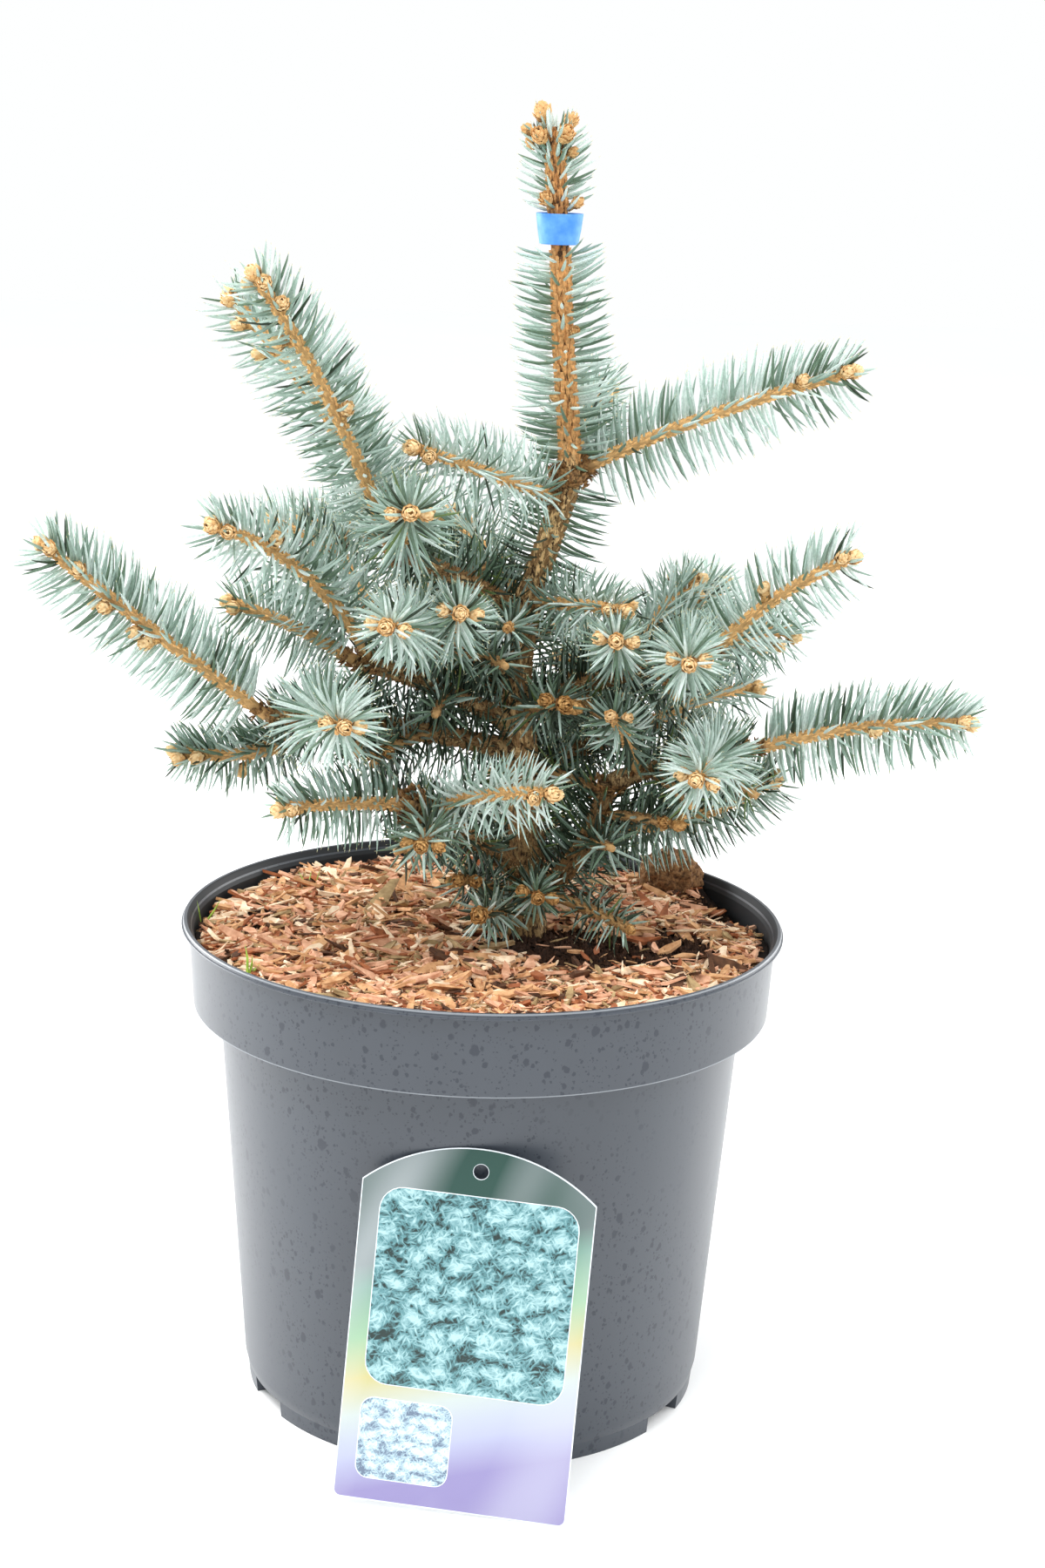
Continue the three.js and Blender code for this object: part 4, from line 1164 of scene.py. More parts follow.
def ring_faces(rings, corners, last_point=None):
    """Faces of a closed shape of stacked rings: side quads, and an end cap or a last point."""
    faces = [tuple(reversed(range(corners)))]
    for ring in range(rings - 1):
        first = ring * corners
        for corner in range(corners):
            after = (corner + 1) % corners
            faces.append((first + corner, first + after, first + corners + after,
                          first + corners + corner))
    top = (rings - 1) * corners
    if last_point is None:
        faces.append(tuple(range(top, top + corners)))
    else:
        faces.extend((top + corner, top + (corner + 1) % corners, last_point)
                     for corner in range(corners))
    return faces


def needle_ring(needles, part, width):
    """Four corners round each needle at a share of its length."""
    middle = needle_path(needles, part)
    ahead = unit(needles.first + (needles.last - needles.first) * part)
    flat = unit(np.cross(ahead, needles.along))
    deep = np.cross(flat, ahead)
    corners = (flat, deep * NEEDLE_DEPTH, -flat, -deep * NEEDLE_DEPTH)
    width = (width * needles.breadth)[:, None]
    return np.stack([middle + corner * width for corner in corners], 1)


def needle_shapes(needles, half_width):
    """The needles' bodies and their pointed tips, as two arrays of copies."""
    rings = [needle_ring(needles, part, width * half_width)
             for part, width in zip(NEEDLE_STATIONS, NEEDLE_WIDTHS)]
    body_end = needle_path(needles, BODY_END)[:, None]
    bodies = np.concatenate(rings + [body_end], 1)
    tip_ring = needle_ring(needles, TIP_START, TIP_WIDTH * half_width)
    tip_end = needle_path(needles, 1.0)[:, None]
    return bodies, np.concatenate((tip_ring, tip_end), 1)


def peg_shapes(needles):
    """The woody peg under each needle: a ridge that rises from the stem to the needle's base."""
    along, side = needles.along, needles.side
    across = np.cross(along, side)
    wide = (0.33 * np.sqrt(needles.room))[:, None]
    tall = (needles.room / (2 * wide[:, 0]))[:, None]
    skin = needles.root - side * PEG_RISE
    points = [skin - along * tall - side * 0.1 * MM]
    for ahead, half, low, high in ((-0.5, 0.92, -0.4, 0.4), (-0.12, 0.84, -0.3, 0.85),
                                   (0.1, 0.5, 0.1, 1.05)):
        middle = skin + along * ahead * tall
        points.append(middle + across * half * wide + side * low * MM)
        points.append(middle + side * high * MM)
        points.append(middle - across * half * wide + side * low * MM)
    return np.stack(points, 1)


PEG_FACES = ((0, 2, 1), (0, 3, 2), (0, 1, 3), (1, 2, 5, 4), (2, 3, 6, 5), (3, 1, 4, 6),
             (4, 5, 8, 7), (5, 6, 9, 8), (6, 4, 7, 9), (7, 8, 9))


def shed_pegs():
    """Needles of which only the pegs are left, on the trunk, the leader and the boughs."""
    groups = clothe_trunk(SHED_STRETCHES, SHED_TRUNK_SEED)
    for seed, limb in enumerate(boughs().values(), SHED_BOUGH_SEED):
        groups.append(clothe(limb, 5 * MM, limb.length, BOUGH_NEEDLE, "bough", seed))
    return joined(groups)


def needle_finish(name, tint):
    """A waxy needle: one plain colour, mottled a little."""
    material, tree, shader = start_finish(name, 0.5, 0.35)
    bloom = noise_node(tree, 900, 2)
    spread = ramp_node(tree, bloom, ((0.3, darker(tint, 0.8)), (0.72, darker(tint, 1.12))))
    tree.links.new(spread, shader.inputs["Base Color"])
    return material


class SPRUCE_OT_needles(Operator):
    """Grows the needles, one piece for each tone, and their pale tips"""

    bl_idname = "spruce.needles"
    bl_label = "Needles"

    def execute(self, context):
        settings = context.scene.spruce_needles
        needles = all_needles()
        rings = len(NEEDLE_STATIONS)
        faces = ring_faces(rings, NEEDLE_CORNERS, rings * NEEDLE_CORNERS)
        tips = Heap()
        for index, tone in enumerate(TONES):
            group = needles.chosen(needles.tone == index)
            bodies, points = needle_shapes(group, settings.half_width)
            heap = Heap()
            heap.add(bodies, faces)
            tips.add(points, ring_faces(1, NEEDLE_CORNERS, NEEDLE_CORNERS))
            heap.piece("needles_" + tone, needle_finish("needle_" + tone, TONE_COLOURS[tone]),
                       "needles")
        tips.piece("needle_tips", needle_finish("needle_tip", srgb(204, 200, 160)), "needles")
        return {"FINISHED"}


class SPRUCE_OT_twigs(Operator):
    """Grows the young stems and the pegs on them, in place of the solid masses"""

    bl_idname = "spruce.twigs"
    bl_label = "Twigs"

    def execute(self, context):
        bark = context.scene.spruce_bark
        masses = [name for name, *_ in SHOOTS] + ["needles_upper_trunk", "needles_leader"]
        joined = bmesh.new()
        for stem in stems():
            limb = stem.limb
            bm = limb_mesh(limb, 0, limb.length - 1 * MM, 10, 2.6 * MM,
                           lambda distance, turn, middle: limb.radius(distance))
            part = new_mesh("stem", bm)
            joined.from_mesh(part)
            bpy.data.meshes.remove(part)
        young = mottled_finish("young_bark", darker(bark.peg, 0.45), darker(bark.peg, 0.8), 520,
                               0.75, 0.3, 0.2 * MM)
        mesh_piece("twig_stems", joined, young, masses)
        tints = {"pegs_young": bark.peg, "pegs_old": bark.old_peg, "pegs_leader": bark.leader_peg}
        for kind, (name, tint) in enumerate(tints.items()):
            heap = Heap()
            for needles in (all_needles(), shed_pegs()):
                heap.add(peg_shapes(needles.chosen(needles.pegs == kind)), PEG_FACES)
            finish = mottled_finish(name, darker(tint, 0.5), darker(tint, 1.36), 700, 0.75, 0.3)
            heap.piece(name, finish, "bark")
        return {"FINISHED"}


# Buds, and the old scales round each year's joint


# A bud scale's corners: shares of its length ahead, of its width aside and of its length out
SCALE_CORNERS = ((0, -0.36, 0), (0, 0.36, 0), (0.5, 0.5, -0.06), (0.5, -0.5, -0.06),
                 (0.88, 0.26, 0.02), (0.88, -0.26, 0.02), (1, 0, 0.08), (0.52, 0, 0.16),
                 (0.45, 0, -0.16))
SCALE_OUTLINE = (0, 3, 5, 6, 4, 2, 1)
SCALE_FACES = tuple(
    face for first, second in zip(SCALE_OUTLINE, SCALE_OUTLINE[1:] + SCALE_OUTLINE[:1])
    for face in ((first, 7, second), (first, second, 8)))


def bud_scale_points(place, axis, outward, tilt, size, width):
    """Small pointed scales, each leaning from a bud's axis by its tilt, as an array of copies."""
    lean = turned(tilt, axis, outward)
    back = turned(tilt, outward, -axis)
    across = np.cross(lean, back)
    size, width = size[:, None], width[:, None]
    return np.stack([place + lean * ahead * size + across * aside * width + back * out * size
                     for ahead, aside, out in SCALE_CORNERS], 1)


# A bud's radius and length in millimetres: on a shoot's end, on its side and on the leader
END_BUD, SIDE_BUD, LEADER_BUD = (2.9, 6.4), (2.6, 6.2), (2.7, 6.4)

# An old bud has lost its pale scales, and the leader's buds have few: darker tones stand in
OLD_TONES = {"pale": "gold", "tan": "gold"}
LEADER_TONES = {"pale": "tan"}


class BudMaker:
    """Gathers buds as heaps of scales: brown at the base, tan above, and pale round the top."""

    SCALES = 38
    COLLAR_SCALE = 2.6 * MM
    CORE_CORNERS = 7
    # Rings of the core inside a bud: height and radius, as shares of the bud's
    CORE_RINGS = ((-0.42, 0.3), (0.0, 0.5), (0.3, 0.8), (0.6, 0.72), (0.85, 0.3))

    def __init__(self):
        self.heaps = {name: Heap() for name in BUD_TONES}
        self.chance = np.random.default_rng(77)

    def bud(self, base, axis, form, size, stand_in):
        """One egg-shaped bud of overlapping scales, standing on its base along its axis."""
        radius, reach = (part * size * MM for part in form)
        across = unit(np.cross(axis, (0.31, 0.22, 0.92)))
        over = np.cross(across, axis)
        index = np.arange(self.SCALES)
        high = 0.04 + 0.8 * (index / self.SCALES) ** 0.9
        turn = index * GOLDEN_TURN + self.chance.normal(0, 0.1, self.SCALES)
        outward = turned(turn, across, over)
        out = radius * np.interp(high, (0, 0.3, 0.5, 0.75, 1), (0.5, 0.88, 0.9, 0.6, 0.1))
        place = base + axis * (high * reach)[:, None] + outward * out[:, None]
        lean = np.interp(high, (0, 0.3, 0.55, 0.85), (26, 8, -10, -42))
        lean = np.radians(lean + self.chance.normal(8, 7, self.SCALES))
        size = reach * np.interp(high, (0, 0.5, 0.85), (0.34, 0.4, 0.34))
        size = size * self.chance.uniform(0.86, 1.15, self.SCALES)
        width = np.full(self.SCALES, radius * 0.88)
        shapes = bud_scale_points(place, np.broadcast_to(axis, place.shape), outward, lean, size,
                                  width)
        level = high + self.chance.normal(0, 0.13, self.SCALES)
        for tone, low, top in (("brown", -1.0, 0.1), ("tan", 0.1, 0.36), ("pale", 0.36, 2.0)):
            tone = stand_in.get(tone, tone)
            self.heaps[tone].add(shapes[(level >= low) & (level < top)], SCALE_FACES)
        corners = self.CORE_CORNERS
        outward = turned(np.arange(corners) * 2 * math.pi / corners, across, over)
        core = [base + axis * level * reach + outward * wide * radius
                for level, wide in self.CORE_RINGS]
        core.append((base + axis * 0.95 * reach)[None])
        faces = ring_faces(len(self.CORE_RINGS), corners, len(self.CORE_RINGS) * corners)
        tone = "brown" if stand_in is OLD_TONES else "gold"
        self.heaps[tone].add(np.concatenate(core)[None], faces)

    def collar(self, limb, distance, radius, number):
        """A ragged ring of old scales round a limb, at a distance along it."""
        spot = np.full(number, distance) + self.chance.normal(0, 0.8 * MM, number)
        along, across, over = limb.axes(spot)
        turn = self.chance.uniform(0, 2 * math.pi, number)
        outward = turned(turn, across, over)
        place = limb.at(spot) + outward * radius
        lean = np.radians(self.chance.normal(34, 20, number))
        size = self.COLLAR_SCALE * self.chance.uniform(0.7, 1.3, number)
        shapes = bud_scale_points(place, along, outward, lean, size, size * 0.8)
        self.heaps["brown"].add(shapes, SCALE_FACES)


BUD_TONES = {
    "pale": ((212, 178, 126), (240, 212, 166)),
    "tan": ((184, 140, 88), (222, 180, 124)),
    "gold": ((124, 84, 42), (222, 176, 112)),
    "brown": ((58, 38, 22), (174, 130, 80)),
}

# Shoots whose end buds differ from the usual three: number, size, old or not
END_BUDS = {
    "shoot_trunk_front": (1, 0.6, True),
    "shoot_trunk_right": (3, 1.1, True),
    "shoot_right_inner": (2, 0.8, False),
    "shoot_foot_outer": (1, 0.7, True),
    "shoot_foot_front": (1, 1.15, True),
}

# Side buds of some shoots, in millimetres back from the tip
SIDE_BUDS = {
    "shoot_crown_right": (24,),
    "shoot_upper_left_tall": (17, 32, 66),
    "shoot_upper_left_back": (16, 30, 44, 70),
    "shoot_far_left_tip": (20, 34, 37, 52, 58),
    "shoot_mid_left_outer": (30,),
    "shoot_right_tip": (42,),
    "shoot_upper_right_tip": (40,),
    "shoot_low_right_outer": (20, 44),
    "shoot_rear_inner": (12, 22, 34),
    "shoot_rear_outer": (14, 30, 44),
    "shoot_upper_right_back": (14, 26),
    "shoot_far_left_back": (14, 30),
    "shoot_back_low_tip": (24,),
    "shoot_back_left_tip": (18, 36),
    "shoot_crown_back": (22,),
}

# The crowd of buds on the leader: x, y and height of each foot, heading, rise, size
LEADER_BUDS = (
    (15.2, -0.5, 528.2, -160, 76, 1.25),
    (24, 1, 526.5, 10, 66, 1.0),
    (11.8, 1, 524, 178, 26, 0.9),
    (14.8, -3, 521, -118, 40, 1.15),
    (21.5, -3, 521.5, -58, 42, 1.25),
    (20.5, 4, 522, 80, 40, 1.0),
    (13, 3, 519, 150, 30, 0.9),
    (24.5, -2, 516, -10, 36, 0.75),
    (17.6, -4, 497.5, -118, 42, 0.95),
    (27, -2, 496.5, -20, 42, 0.8),
    (29, -3.5, 447, -70, 40, 0.7),
    (24, -4, 421, -150, 34, 0.6),
)

# Rings of dark scales round the trunk: height, number of scales, distance from the bark
NODE_COLLARS = ((394, 50, 1.0), (391, 90, 3.2), (387.5, 80, 2.6), (384, 30, 1.4), (338, 54, 1.6),
                (298, 34, 1.4), (264, 24, 1.4), (216, 26, 1.4))

# Tufts of old scales: bough, share of its length, distance from the bark, number of scales
OLD_CLUSTERS = (("bough_low_left", 1.0, 3.0, 90), ("bough_low_left", 0.94, 1.5, 50),
                ("bough_low_right", 0.98, 2.5, 70), ("bough_upper_right", 0.32, 2.0, 40),
                ("bough_low_right", 0.13, 2.0, 40), ("bough_far_left", 0.86, 1.5, 36),
                ("bough_mid_left", 0.9, 1.5, 36), ("bough_upper_left", 0.93, 1.5, 36))


class SPRUCE_OT_buds(Operator):
    """Grows the winter buds and the old brown scales round the joints"""

    bl_idname = "spruce.buds"
    bl_label = "Buds"

    def execute(self, context):
        maker = BudMaker()
        chance = np.random.default_rng(5)
        for stem in stems():
            self.shoot_buds(maker, stem, chance)
            maker.collar(stem.limb, 3.5 * MM, stem.limb.base + 0.3 * MM, 22)
            if stem.seed < CROWN_SHOOTS:
                maker.collar(stem.limb, 8 * MM, stem.limb.base + 1.6 * MM, 50)
        for x, y, z, heading, rise, size in LEADER_BUDS:
            foot = np.array((x, y, z)) * MM
            maker.bud(foot, heading_vector(heading, rise), LEADER_BUD, size, LEADER_TONES)
        trunk = trunk_line()
        for height, number, out in NODE_COLLARS:
            distance = trunk.distance_at(height)
            wood = trunk.radius(distance) * trunk_slimness(height * MM)
            maker.collar(trunk, distance, wood + out * MM, number)
        for name, at, out, number in OLD_CLUSTERS:
            limb = boughs()[name]
            distance = at * limb.length
            maker.collar(limb, distance, limb.radius(distance) + out * MM, number)
        for limb in boughs().values():
            maker.collar(limb, limb.length - 2 * MM, limb.tip + 0.2 * MM, 30)
            maker.collar(limb, 0.45 * limb.length, limb.radius(0.45 * limb.length), 12)
        for name, (dark, light) in BUD_TONES.items():
            finish = mottled_finish("bud_scale_" + name, srgb(*dark), srgb(*light), 700, 0.7, 0.3)
            maker.heaps[name].piece("bud_scales_" + name, finish, "bark")
        return {"FINISHED"}

    def shoot_buds(self, maker, stem, chance):
        """A bud on the stem's end, two close behind it, and more down the side."""
        if not stem.buds:
            return
        limb = stem.limb
        name = SHOOTS[stem.seed][0] if stem.seed < len(SHOOTS) else ""
        usual = (stem.buds, 1.0 if stem.coat != "dark" else 0.92, stem.coat == "dark")
        number, size, old = END_BUDS.get(name, usual)
        stand_in = OLD_TONES if old else {}
        end = limb.at(limb.length)
        along = limb.axes(np.array([limb.length]))[0][0]
        maker.bud(end - along * 4.5 * MM, along, END_BUD, size, stand_in)
        places = [(6.5 * MM, 0.0), (8 * MM, math.pi)][:number - 1]
        places += [(back * MM, chance.uniform(-0.9, 0.9) - math.pi / 2 * (i % 2))
                   for i, back in enumerate(SIDE_BUDS.get(name, ()))]
        for back, turn in places:
            spot = np.array([limb.length - back])
            along, across, over = (axis[0] for axis in limb.axes(spot))
            turn = turn + chance.uniform(-0.35, 0.35)
            # Across points toward the front on shoots to the right, and away on shoots to the left
            front = across if across[1] < 0 else -across
            outward = math.cos(turn) * front + math.sin(turn) * over
            foot = limb.at(spot)[0] + outward * 3.9 * MM
            maker.bud(foot, unit(along + outward * 1.05), SIDE_BUD, size, stand_in)


# Soil and mulch

# The trunk's middle at the soil, and how far chips keep from it
TRUNK_FOOT, TRUNK_ROOM = np.array((16.4, 0.0)) * MM, 12 * MM
# The clod of peat by the rim: x and y, and its half sizes in millimetres
CLOD_PLACE, CLOD_SIZE = np.array((83, 72)) * MM, (14, 12, 13)
# A lump of peat, a hollow by the rim, and bare soil in front of the trunk: x, y, height, spread
SOIL_FORMS = ((88, 76, 7, 13), (108, 40, -6, 20), (52, -14, -2.5, 14))
FOOT_FLAT, DOME_SPREAD, FOOT_BLEND = 17 * MM, 60 * MM, 25 * MM
RIPPLE, RIPPLE_X, RIPPLE_Y = 0.9, 13 * MM, 11 * MM
# Ovals of bare soil: x, y, half width, half depth, how bare
BARE_SPOTS = ((46, -26, 42, 30, 1), (16, -22, 25, 22, 1), (74, -16, 24, 23, 1),
              (86, 80, 16, 15, 1), (106, 50, 14, 24, 1), (-104, -54, 8, 12, 1),
              (84, -34, 26, 16, 0.55), (24, 36, 30, 22, 0.6), (-96, 12, 14, 30, 0.5))


def soil_height(x, y):
    """The height of the soil's surface, as the solid has it, for arrays of places."""
    mulch = bpy.context.scene.spruce_mulch
    reach = np.maximum(0, np.hypot(x - TRUNK_FOOT[0], y - TRUNK_FOOT[1]) - FOOT_FLAT)
    dome = np.exp(-((reach / DOME_SPREAD) ** 2))
    relief = RIPPLE * np.sin(x / RIPPLE_X + 1.3) * np.sin(y / RIPPLE_Y + 0.4)
    for form_x, form_y, high, spread in SOIL_FORMS:
        away = np.hypot(x - form_x * MM, y - form_y * MM)
        relief = relief + high * np.exp(-((away / (spread * MM)) ** 2))
    level = mulch.rim_level + (mulch.foot_level - mulch.rim_level) * dome
    return level + np.minimum(1, reach / FOOT_BLEND) * relief * MM


def bareness(x, y):
    """How bare of chips the soil is, from 0 to 1."""
    bare = np.zeros_like(x)
    for spot_x, spot_y, wide, deep, amount in BARE_SPOTS:
        away = np.hypot((x - spot_x * MM) / wide, (y - spot_y * MM) / deep) / MM
        bare = np.maximum(bare, amount * np.exp(-(away ** 4)))
    ragged = 0.5 + 0.5 * np.sin(x / (2.6 * MM) + 2 * np.sin(y / (4.3 * MM))) * np.cos(y / (3.1 * MM))
    return np.clip(1.8 * bare - 0.5 * ragged, 0, 1)


class SPRUCE_OT_soil(Operator):
    """Builds the soil's surface and the crumbs on it"""

    bl_idname = "spruce.soil"
    bl_label = "Soil"

    def execute(self, context):
        mulch = context.scene.spruce_mulch
        bottom = mulch.rim_level - mulch.depth
        radii = np.linspace(0, mulch.radius, mulch.rings)
        profile = [(radius, 0.0) for radius in radii]
        profile += [(mulch.radius, bottom), (0, bottom)]
        bm = spin_profile(profile, mulch.segments)
        for vertex in bm.verts:
            if vertex.co.z < bottom / 2:
                x, y, _ = vertex.co
                rough = noise.fractal(Vector((x, y, 0)) * 260, 0.9, 2.1, 4)
                vertex.co.z = float(soil_height(x, y)) + 1.1 * MM * rough
        bmesh.ops.recalc_face_normals(bm, faces=bm.faces)
        finish = mottled_finish("soil", darker(mulch.soil, 0.55), darker(mulch.soil, 1.5), 380,
                                0.95, 0.2, 0.8 * MM)
        mesh_piece("soil_bed", bm, finish, ("soil",))
        self.clod()
        self.crumbs(mulch)
        return {"FINISHED"}

    def clod(self):
        """A rough lump of peat by the rim."""
        bm = bmesh.new()
        bmesh.ops.create_icosphere(bm, subdivisions=5, radius=1)
        x, y = CLOD_PLACE
        middle = Vector((x, y, soil_height(x, y) + 1.5 * MM))
        for vertex in bm.verts:
            rough = 1 + 0.15 * noise.fractal(vertex.co * 2.4, 0.6, 2.3, 6)
            vertex.co = middle + vertex.co * Vector(CLOD_SIZE) * MM * rough
        finish = mottled_finish("peat_clod", srgb(58, 38, 25), srgb(146, 108, 72), 620, 0.95,
                                0.2, 0.8 * MM)
        mesh_piece("peat_clod", bm, finish)

    def crumbs(self, mulch):
        """Rough lumps of peat, most of them where the soil is bare."""
        chance = np.random.default_rng(31)
        x, y = scatter(chance, mulch.crumbs * 5, mulch.radius - 3 * MM)
        keep = chance.uniform(size=len(x)) < 0.06 + bareness(x, y)
        x, y = x[keep], y[keep]
        size = chance.uniform(0.5, 2.1, len(x)) * MM
        ragged = chance.uniform(0.6, 1.3, (len(x), len(OCTAHEDRON), 1))
        shape = OCTAHEDRON[None] * ragged * size[:, None, None]
        middle = np.stack((x, y, soil_height(x, y) + size * 0.4), -1)
        heap = Heap()
        heap.add(shape + middle[:, None], OCTAHEDRON_FACES)
        finish = mottled_finish("soil_crumb", srgb(24, 16, 12), srgb(74, 50, 36), 600, 0.95, 0.2)
        heap.piece("soil_crumbs", finish, "mulch")


OCTAHEDRON = np.array(((0, 0, 1), (0, 0, -1), (1, 0, 0), (0, 1, 0), (-1, 0, 0), (0, -1, 0)))
OCTAHEDRON_FACES = ((0, 2, 3), (0, 3, 4), (0, 4, 5), (0, 5, 2),
                    (1, 3, 2), (1, 4, 3), (1, 5, 4), (1, 2, 5))

CHIP_TONES = {
    "pink": ((186, 130, 98), (234, 186, 154), 0.25),
    "tan": ((176, 124, 82), (226, 180, 134), 0.24),
    "pale": ((216, 182, 146), (250, 230, 202), 0.2),
    "rust": ((122, 68, 42), (176, 108, 70), 0.13),
    "olive": ((132, 106, 74), (186, 160, 116), 0.09),
    "dark": ((58, 38, 28), (104, 70, 48), 0.09),
}


def scatter(chance, number, radius):
    """Even random places in a circle, as x and y arrays."""
    reach = radius * np.sqrt(chance.uniform(size=number))
    turn = chance.uniform(0, 2 * math.pi, number)
    return reach * np.cos(turn), reach * np.sin(turn)


# How much the sizes of chips and shreds vary, and their least and greatest length
CHIP_SPREAD, CHIP_LENGTHS = 0.42, (3 * MM, 32 * MM)
# A chip's thickness, as a share of its width and in metres, and how many millimetres high it lies
CHIP_FLATNESS, CHIP_THICKNESS, CHIP_LIFT = (0.2, 0.5), (0.4 * MM, 1.5 * MM), (0.3, 5.2)

# A chip's sections: place along it and width, as shares, and the corners of each
CHIP_SECTIONS = ((-0.5, 0.45), (-0.08, 1.0), (0.5, 0.4))
CHIP_CORNERS = ((1, 0.5), (1, -0.5), (-1, -0.5), (-1, 0.5))


def chip_shapes(chance, x, y, lift, size, width, thick):
    """Splinters of wood: bent bars with three ragged sections, as an array of copies."""
    number = len(x)
    turn = chance.uniform(0, 2 * math.pi, number)
    pitch = chance.normal(0, 0.2, number)
    roll = chance.normal(0, 0.4, number)
    ahead = np.stack((np.cos(turn) * np.cos(pitch), np.sin(turn) * np.cos(pitch),
                      np.sin(pitch)), -1)
    flat = np.stack((-np.sin(turn), np.cos(turn), 0 * turn), -1)
    up = np.cross(ahead, flat)
    across = turned(roll, flat, up)
    normal = np.cross(ahead, across)
    middle = np.stack((x, y, soil_height(x, y) + lift), -1)
    bend = chance.normal(0, 0.05, number) * size
    rings = []
    for part, wide in CHIP_SECTIONS:
        slant = chance.normal(0, 0.1, (2, number)) * size
        spot = middle + ahead * (part * size)[:, None] - normal * (abs(part) * 2 * bend)[:, None]
        for sign, high in CHIP_CORNERS:
            ragged = chance.uniform(0.6, 1.15, number) * wide
            shift = slant[(sign + 1) // 2] * (abs(part) > 0.2)
            rings.append(spot + ahead * shift[:, None]
                         + across * (sign * 0.5 * width * ragged)[:, None]
                         + normal * (high * thick)[:, None])
    return np.stack(rings, 1)


# Tufts of grass: x, y, blades
SPROUTS = ((-92, -62, 3), (-117, 6, 2), (-76, 60, 3))


class SPRUCE_OT_mulch(Operator):
    """Strews the wood chips and shreds, one piece for each tone, and a few green sprouts"""

    bl_idname = "spruce.mulch"
    bl_label = "Mulch"

    def execute(self, context):
        mulch = context.scene.spruce_mulch
        chance = np.random.default_rng(12)
        heaps = {tone: Heap() for tone in CHIP_TONES}
        shares = np.array([part for *_, part in CHIP_TONES.values()])
        faces = ring_faces(len(CHIP_SECTIONS), len(CHIP_CORNERS))
        for number, scale, thin in ((mulch.shreds, 0.55, 0.3), (mulch.chips, 1.0, 1.0)):
            size = mulch.chip_length * scale * np.exp(chance.normal(0, CHIP_SPREAD, number))
            size = np.clip(size, *CHIP_LENGTHS)
            width = mulch.chip_width * thin * np.exp(chance.normal(0, CHIP_SPREAD, number))
            width = np.minimum(width, size * 0.55)
            thick = np.clip(width * chance.uniform(*CHIP_FLATNESS, number), *CHIP_THICKNESS)
            x, y = scatter(chance, number, 1.0)
            reach = np.hypot(x, y)
            limit = mulch.radius - 0.42 * size - 1 * MM
            x, y = x * limit, y * limit
            lift = chance.uniform(*CHIP_LIFT, number) * MM * (1.08 - 0.5 * reach ** 4)
            keep = chance.uniform(size=number) > 0.95 * bareness(x, y)
            keep &= np.hypot(x - TRUNK_FOOT[0], y - TRUNK_FOOT[1]) > TRUNK_ROOM
            tone = chance.choice(len(shares), size=number, p=shares)
            shapes = chip_shapes(chance, x, y, lift, size, width, thick)
            for index, heap in enumerate(heaps.values()):
                heap.add(shapes[keep & (tone == index)], faces)
        for tone, (dark, light, _) in CHIP_TONES.items():
            finish = mottled_finish("chip_" + tone, srgb(*dark), srgb(*light), 260, 0.85, 0.25,
                                    0.15 * MM)
            heaps[tone].piece("chips_" + tone, finish, "mulch")
        self.sprouts(chance)
        return {"FINISHED"}

    def sprouts(self, chance):
        """Three tufts of tiny grass."""
        heap = Heap()
        for x, y, blades in SPROUTS:
            for _ in range(blades):
                root = np.array((x, y, 0)) * MM + np.append(chance.normal(0, 1.5 * MM, 2), 0)
                root[2] = soil_height(root[0], root[1]) + 2 * MM
                lean = unit(np.append(chance.normal(0, 0.5, 2), 1.0))
                tall = chance.uniform(7, 13) * MM
                side = unit(np.cross(lean, chance.normal(0, 1, 3))) * 0.5 * MM
                back = unit(np.cross(lean, side)) * 0.2 * MM
                rings = [root + lean * tall * part + side * sign * wide + back * face
                         for part, wide in ((0, 1.0), (0.5, 0.9))
                         for sign, face in ((1, 1), (1, -1), (-1, -1), (-1, 1))]
                rings.append(root + lean * tall + side * 2)
                heap.add(np.array(rings)[None], ring_faces(2, 4, 8))
        finish = mottled_finish("sprout", srgb(120, 160, 50), srgb(176, 206, 84), 300, 0.5)
        heap.piece("sprouts", finish, "needles")


# The ring and the card


# The ring's outer radii at its foot, its middle and its top, and its wall
RING_RADII, RING_WALL = (7.7 * MM, 8.7 * MM, 9.4 * MM), 1.0 * MM


class SPRUCE_OT_ring(Operator):
    """Builds the small tapered ring round the leader"""

    bl_idname = "spruce.ring"
    bl_label = "Ring"

    def execute(self, context):
        middle = (RING_LOW + RING_HIGH) / 2
        levels = (RING_LOW.z, middle.z, RING_HIGH.z)
        outer = list(zip(RING_RADII, levels))
        inner = [(radius - RING_WALL, level) for radius, level in outer]
        bm = spin_profile((inner[0], *outer, *reversed(inner)), 64)
        soften(bm, 0.22 * MM, 40)
        bmesh.ops.translate(bm, verts=bm.verts, vec=(middle.x, 0, 0))
        finish = mottled_finish("ring_plastic", srgb(66, 130, 220), srgb(104, 164, 234), 160, 0.5,
                                0.2, 0.05 * MM)
        mesh_piece("leader_band", bm, finish, ("leader_ring",), smooth=False)
        return {"FINISHED"}


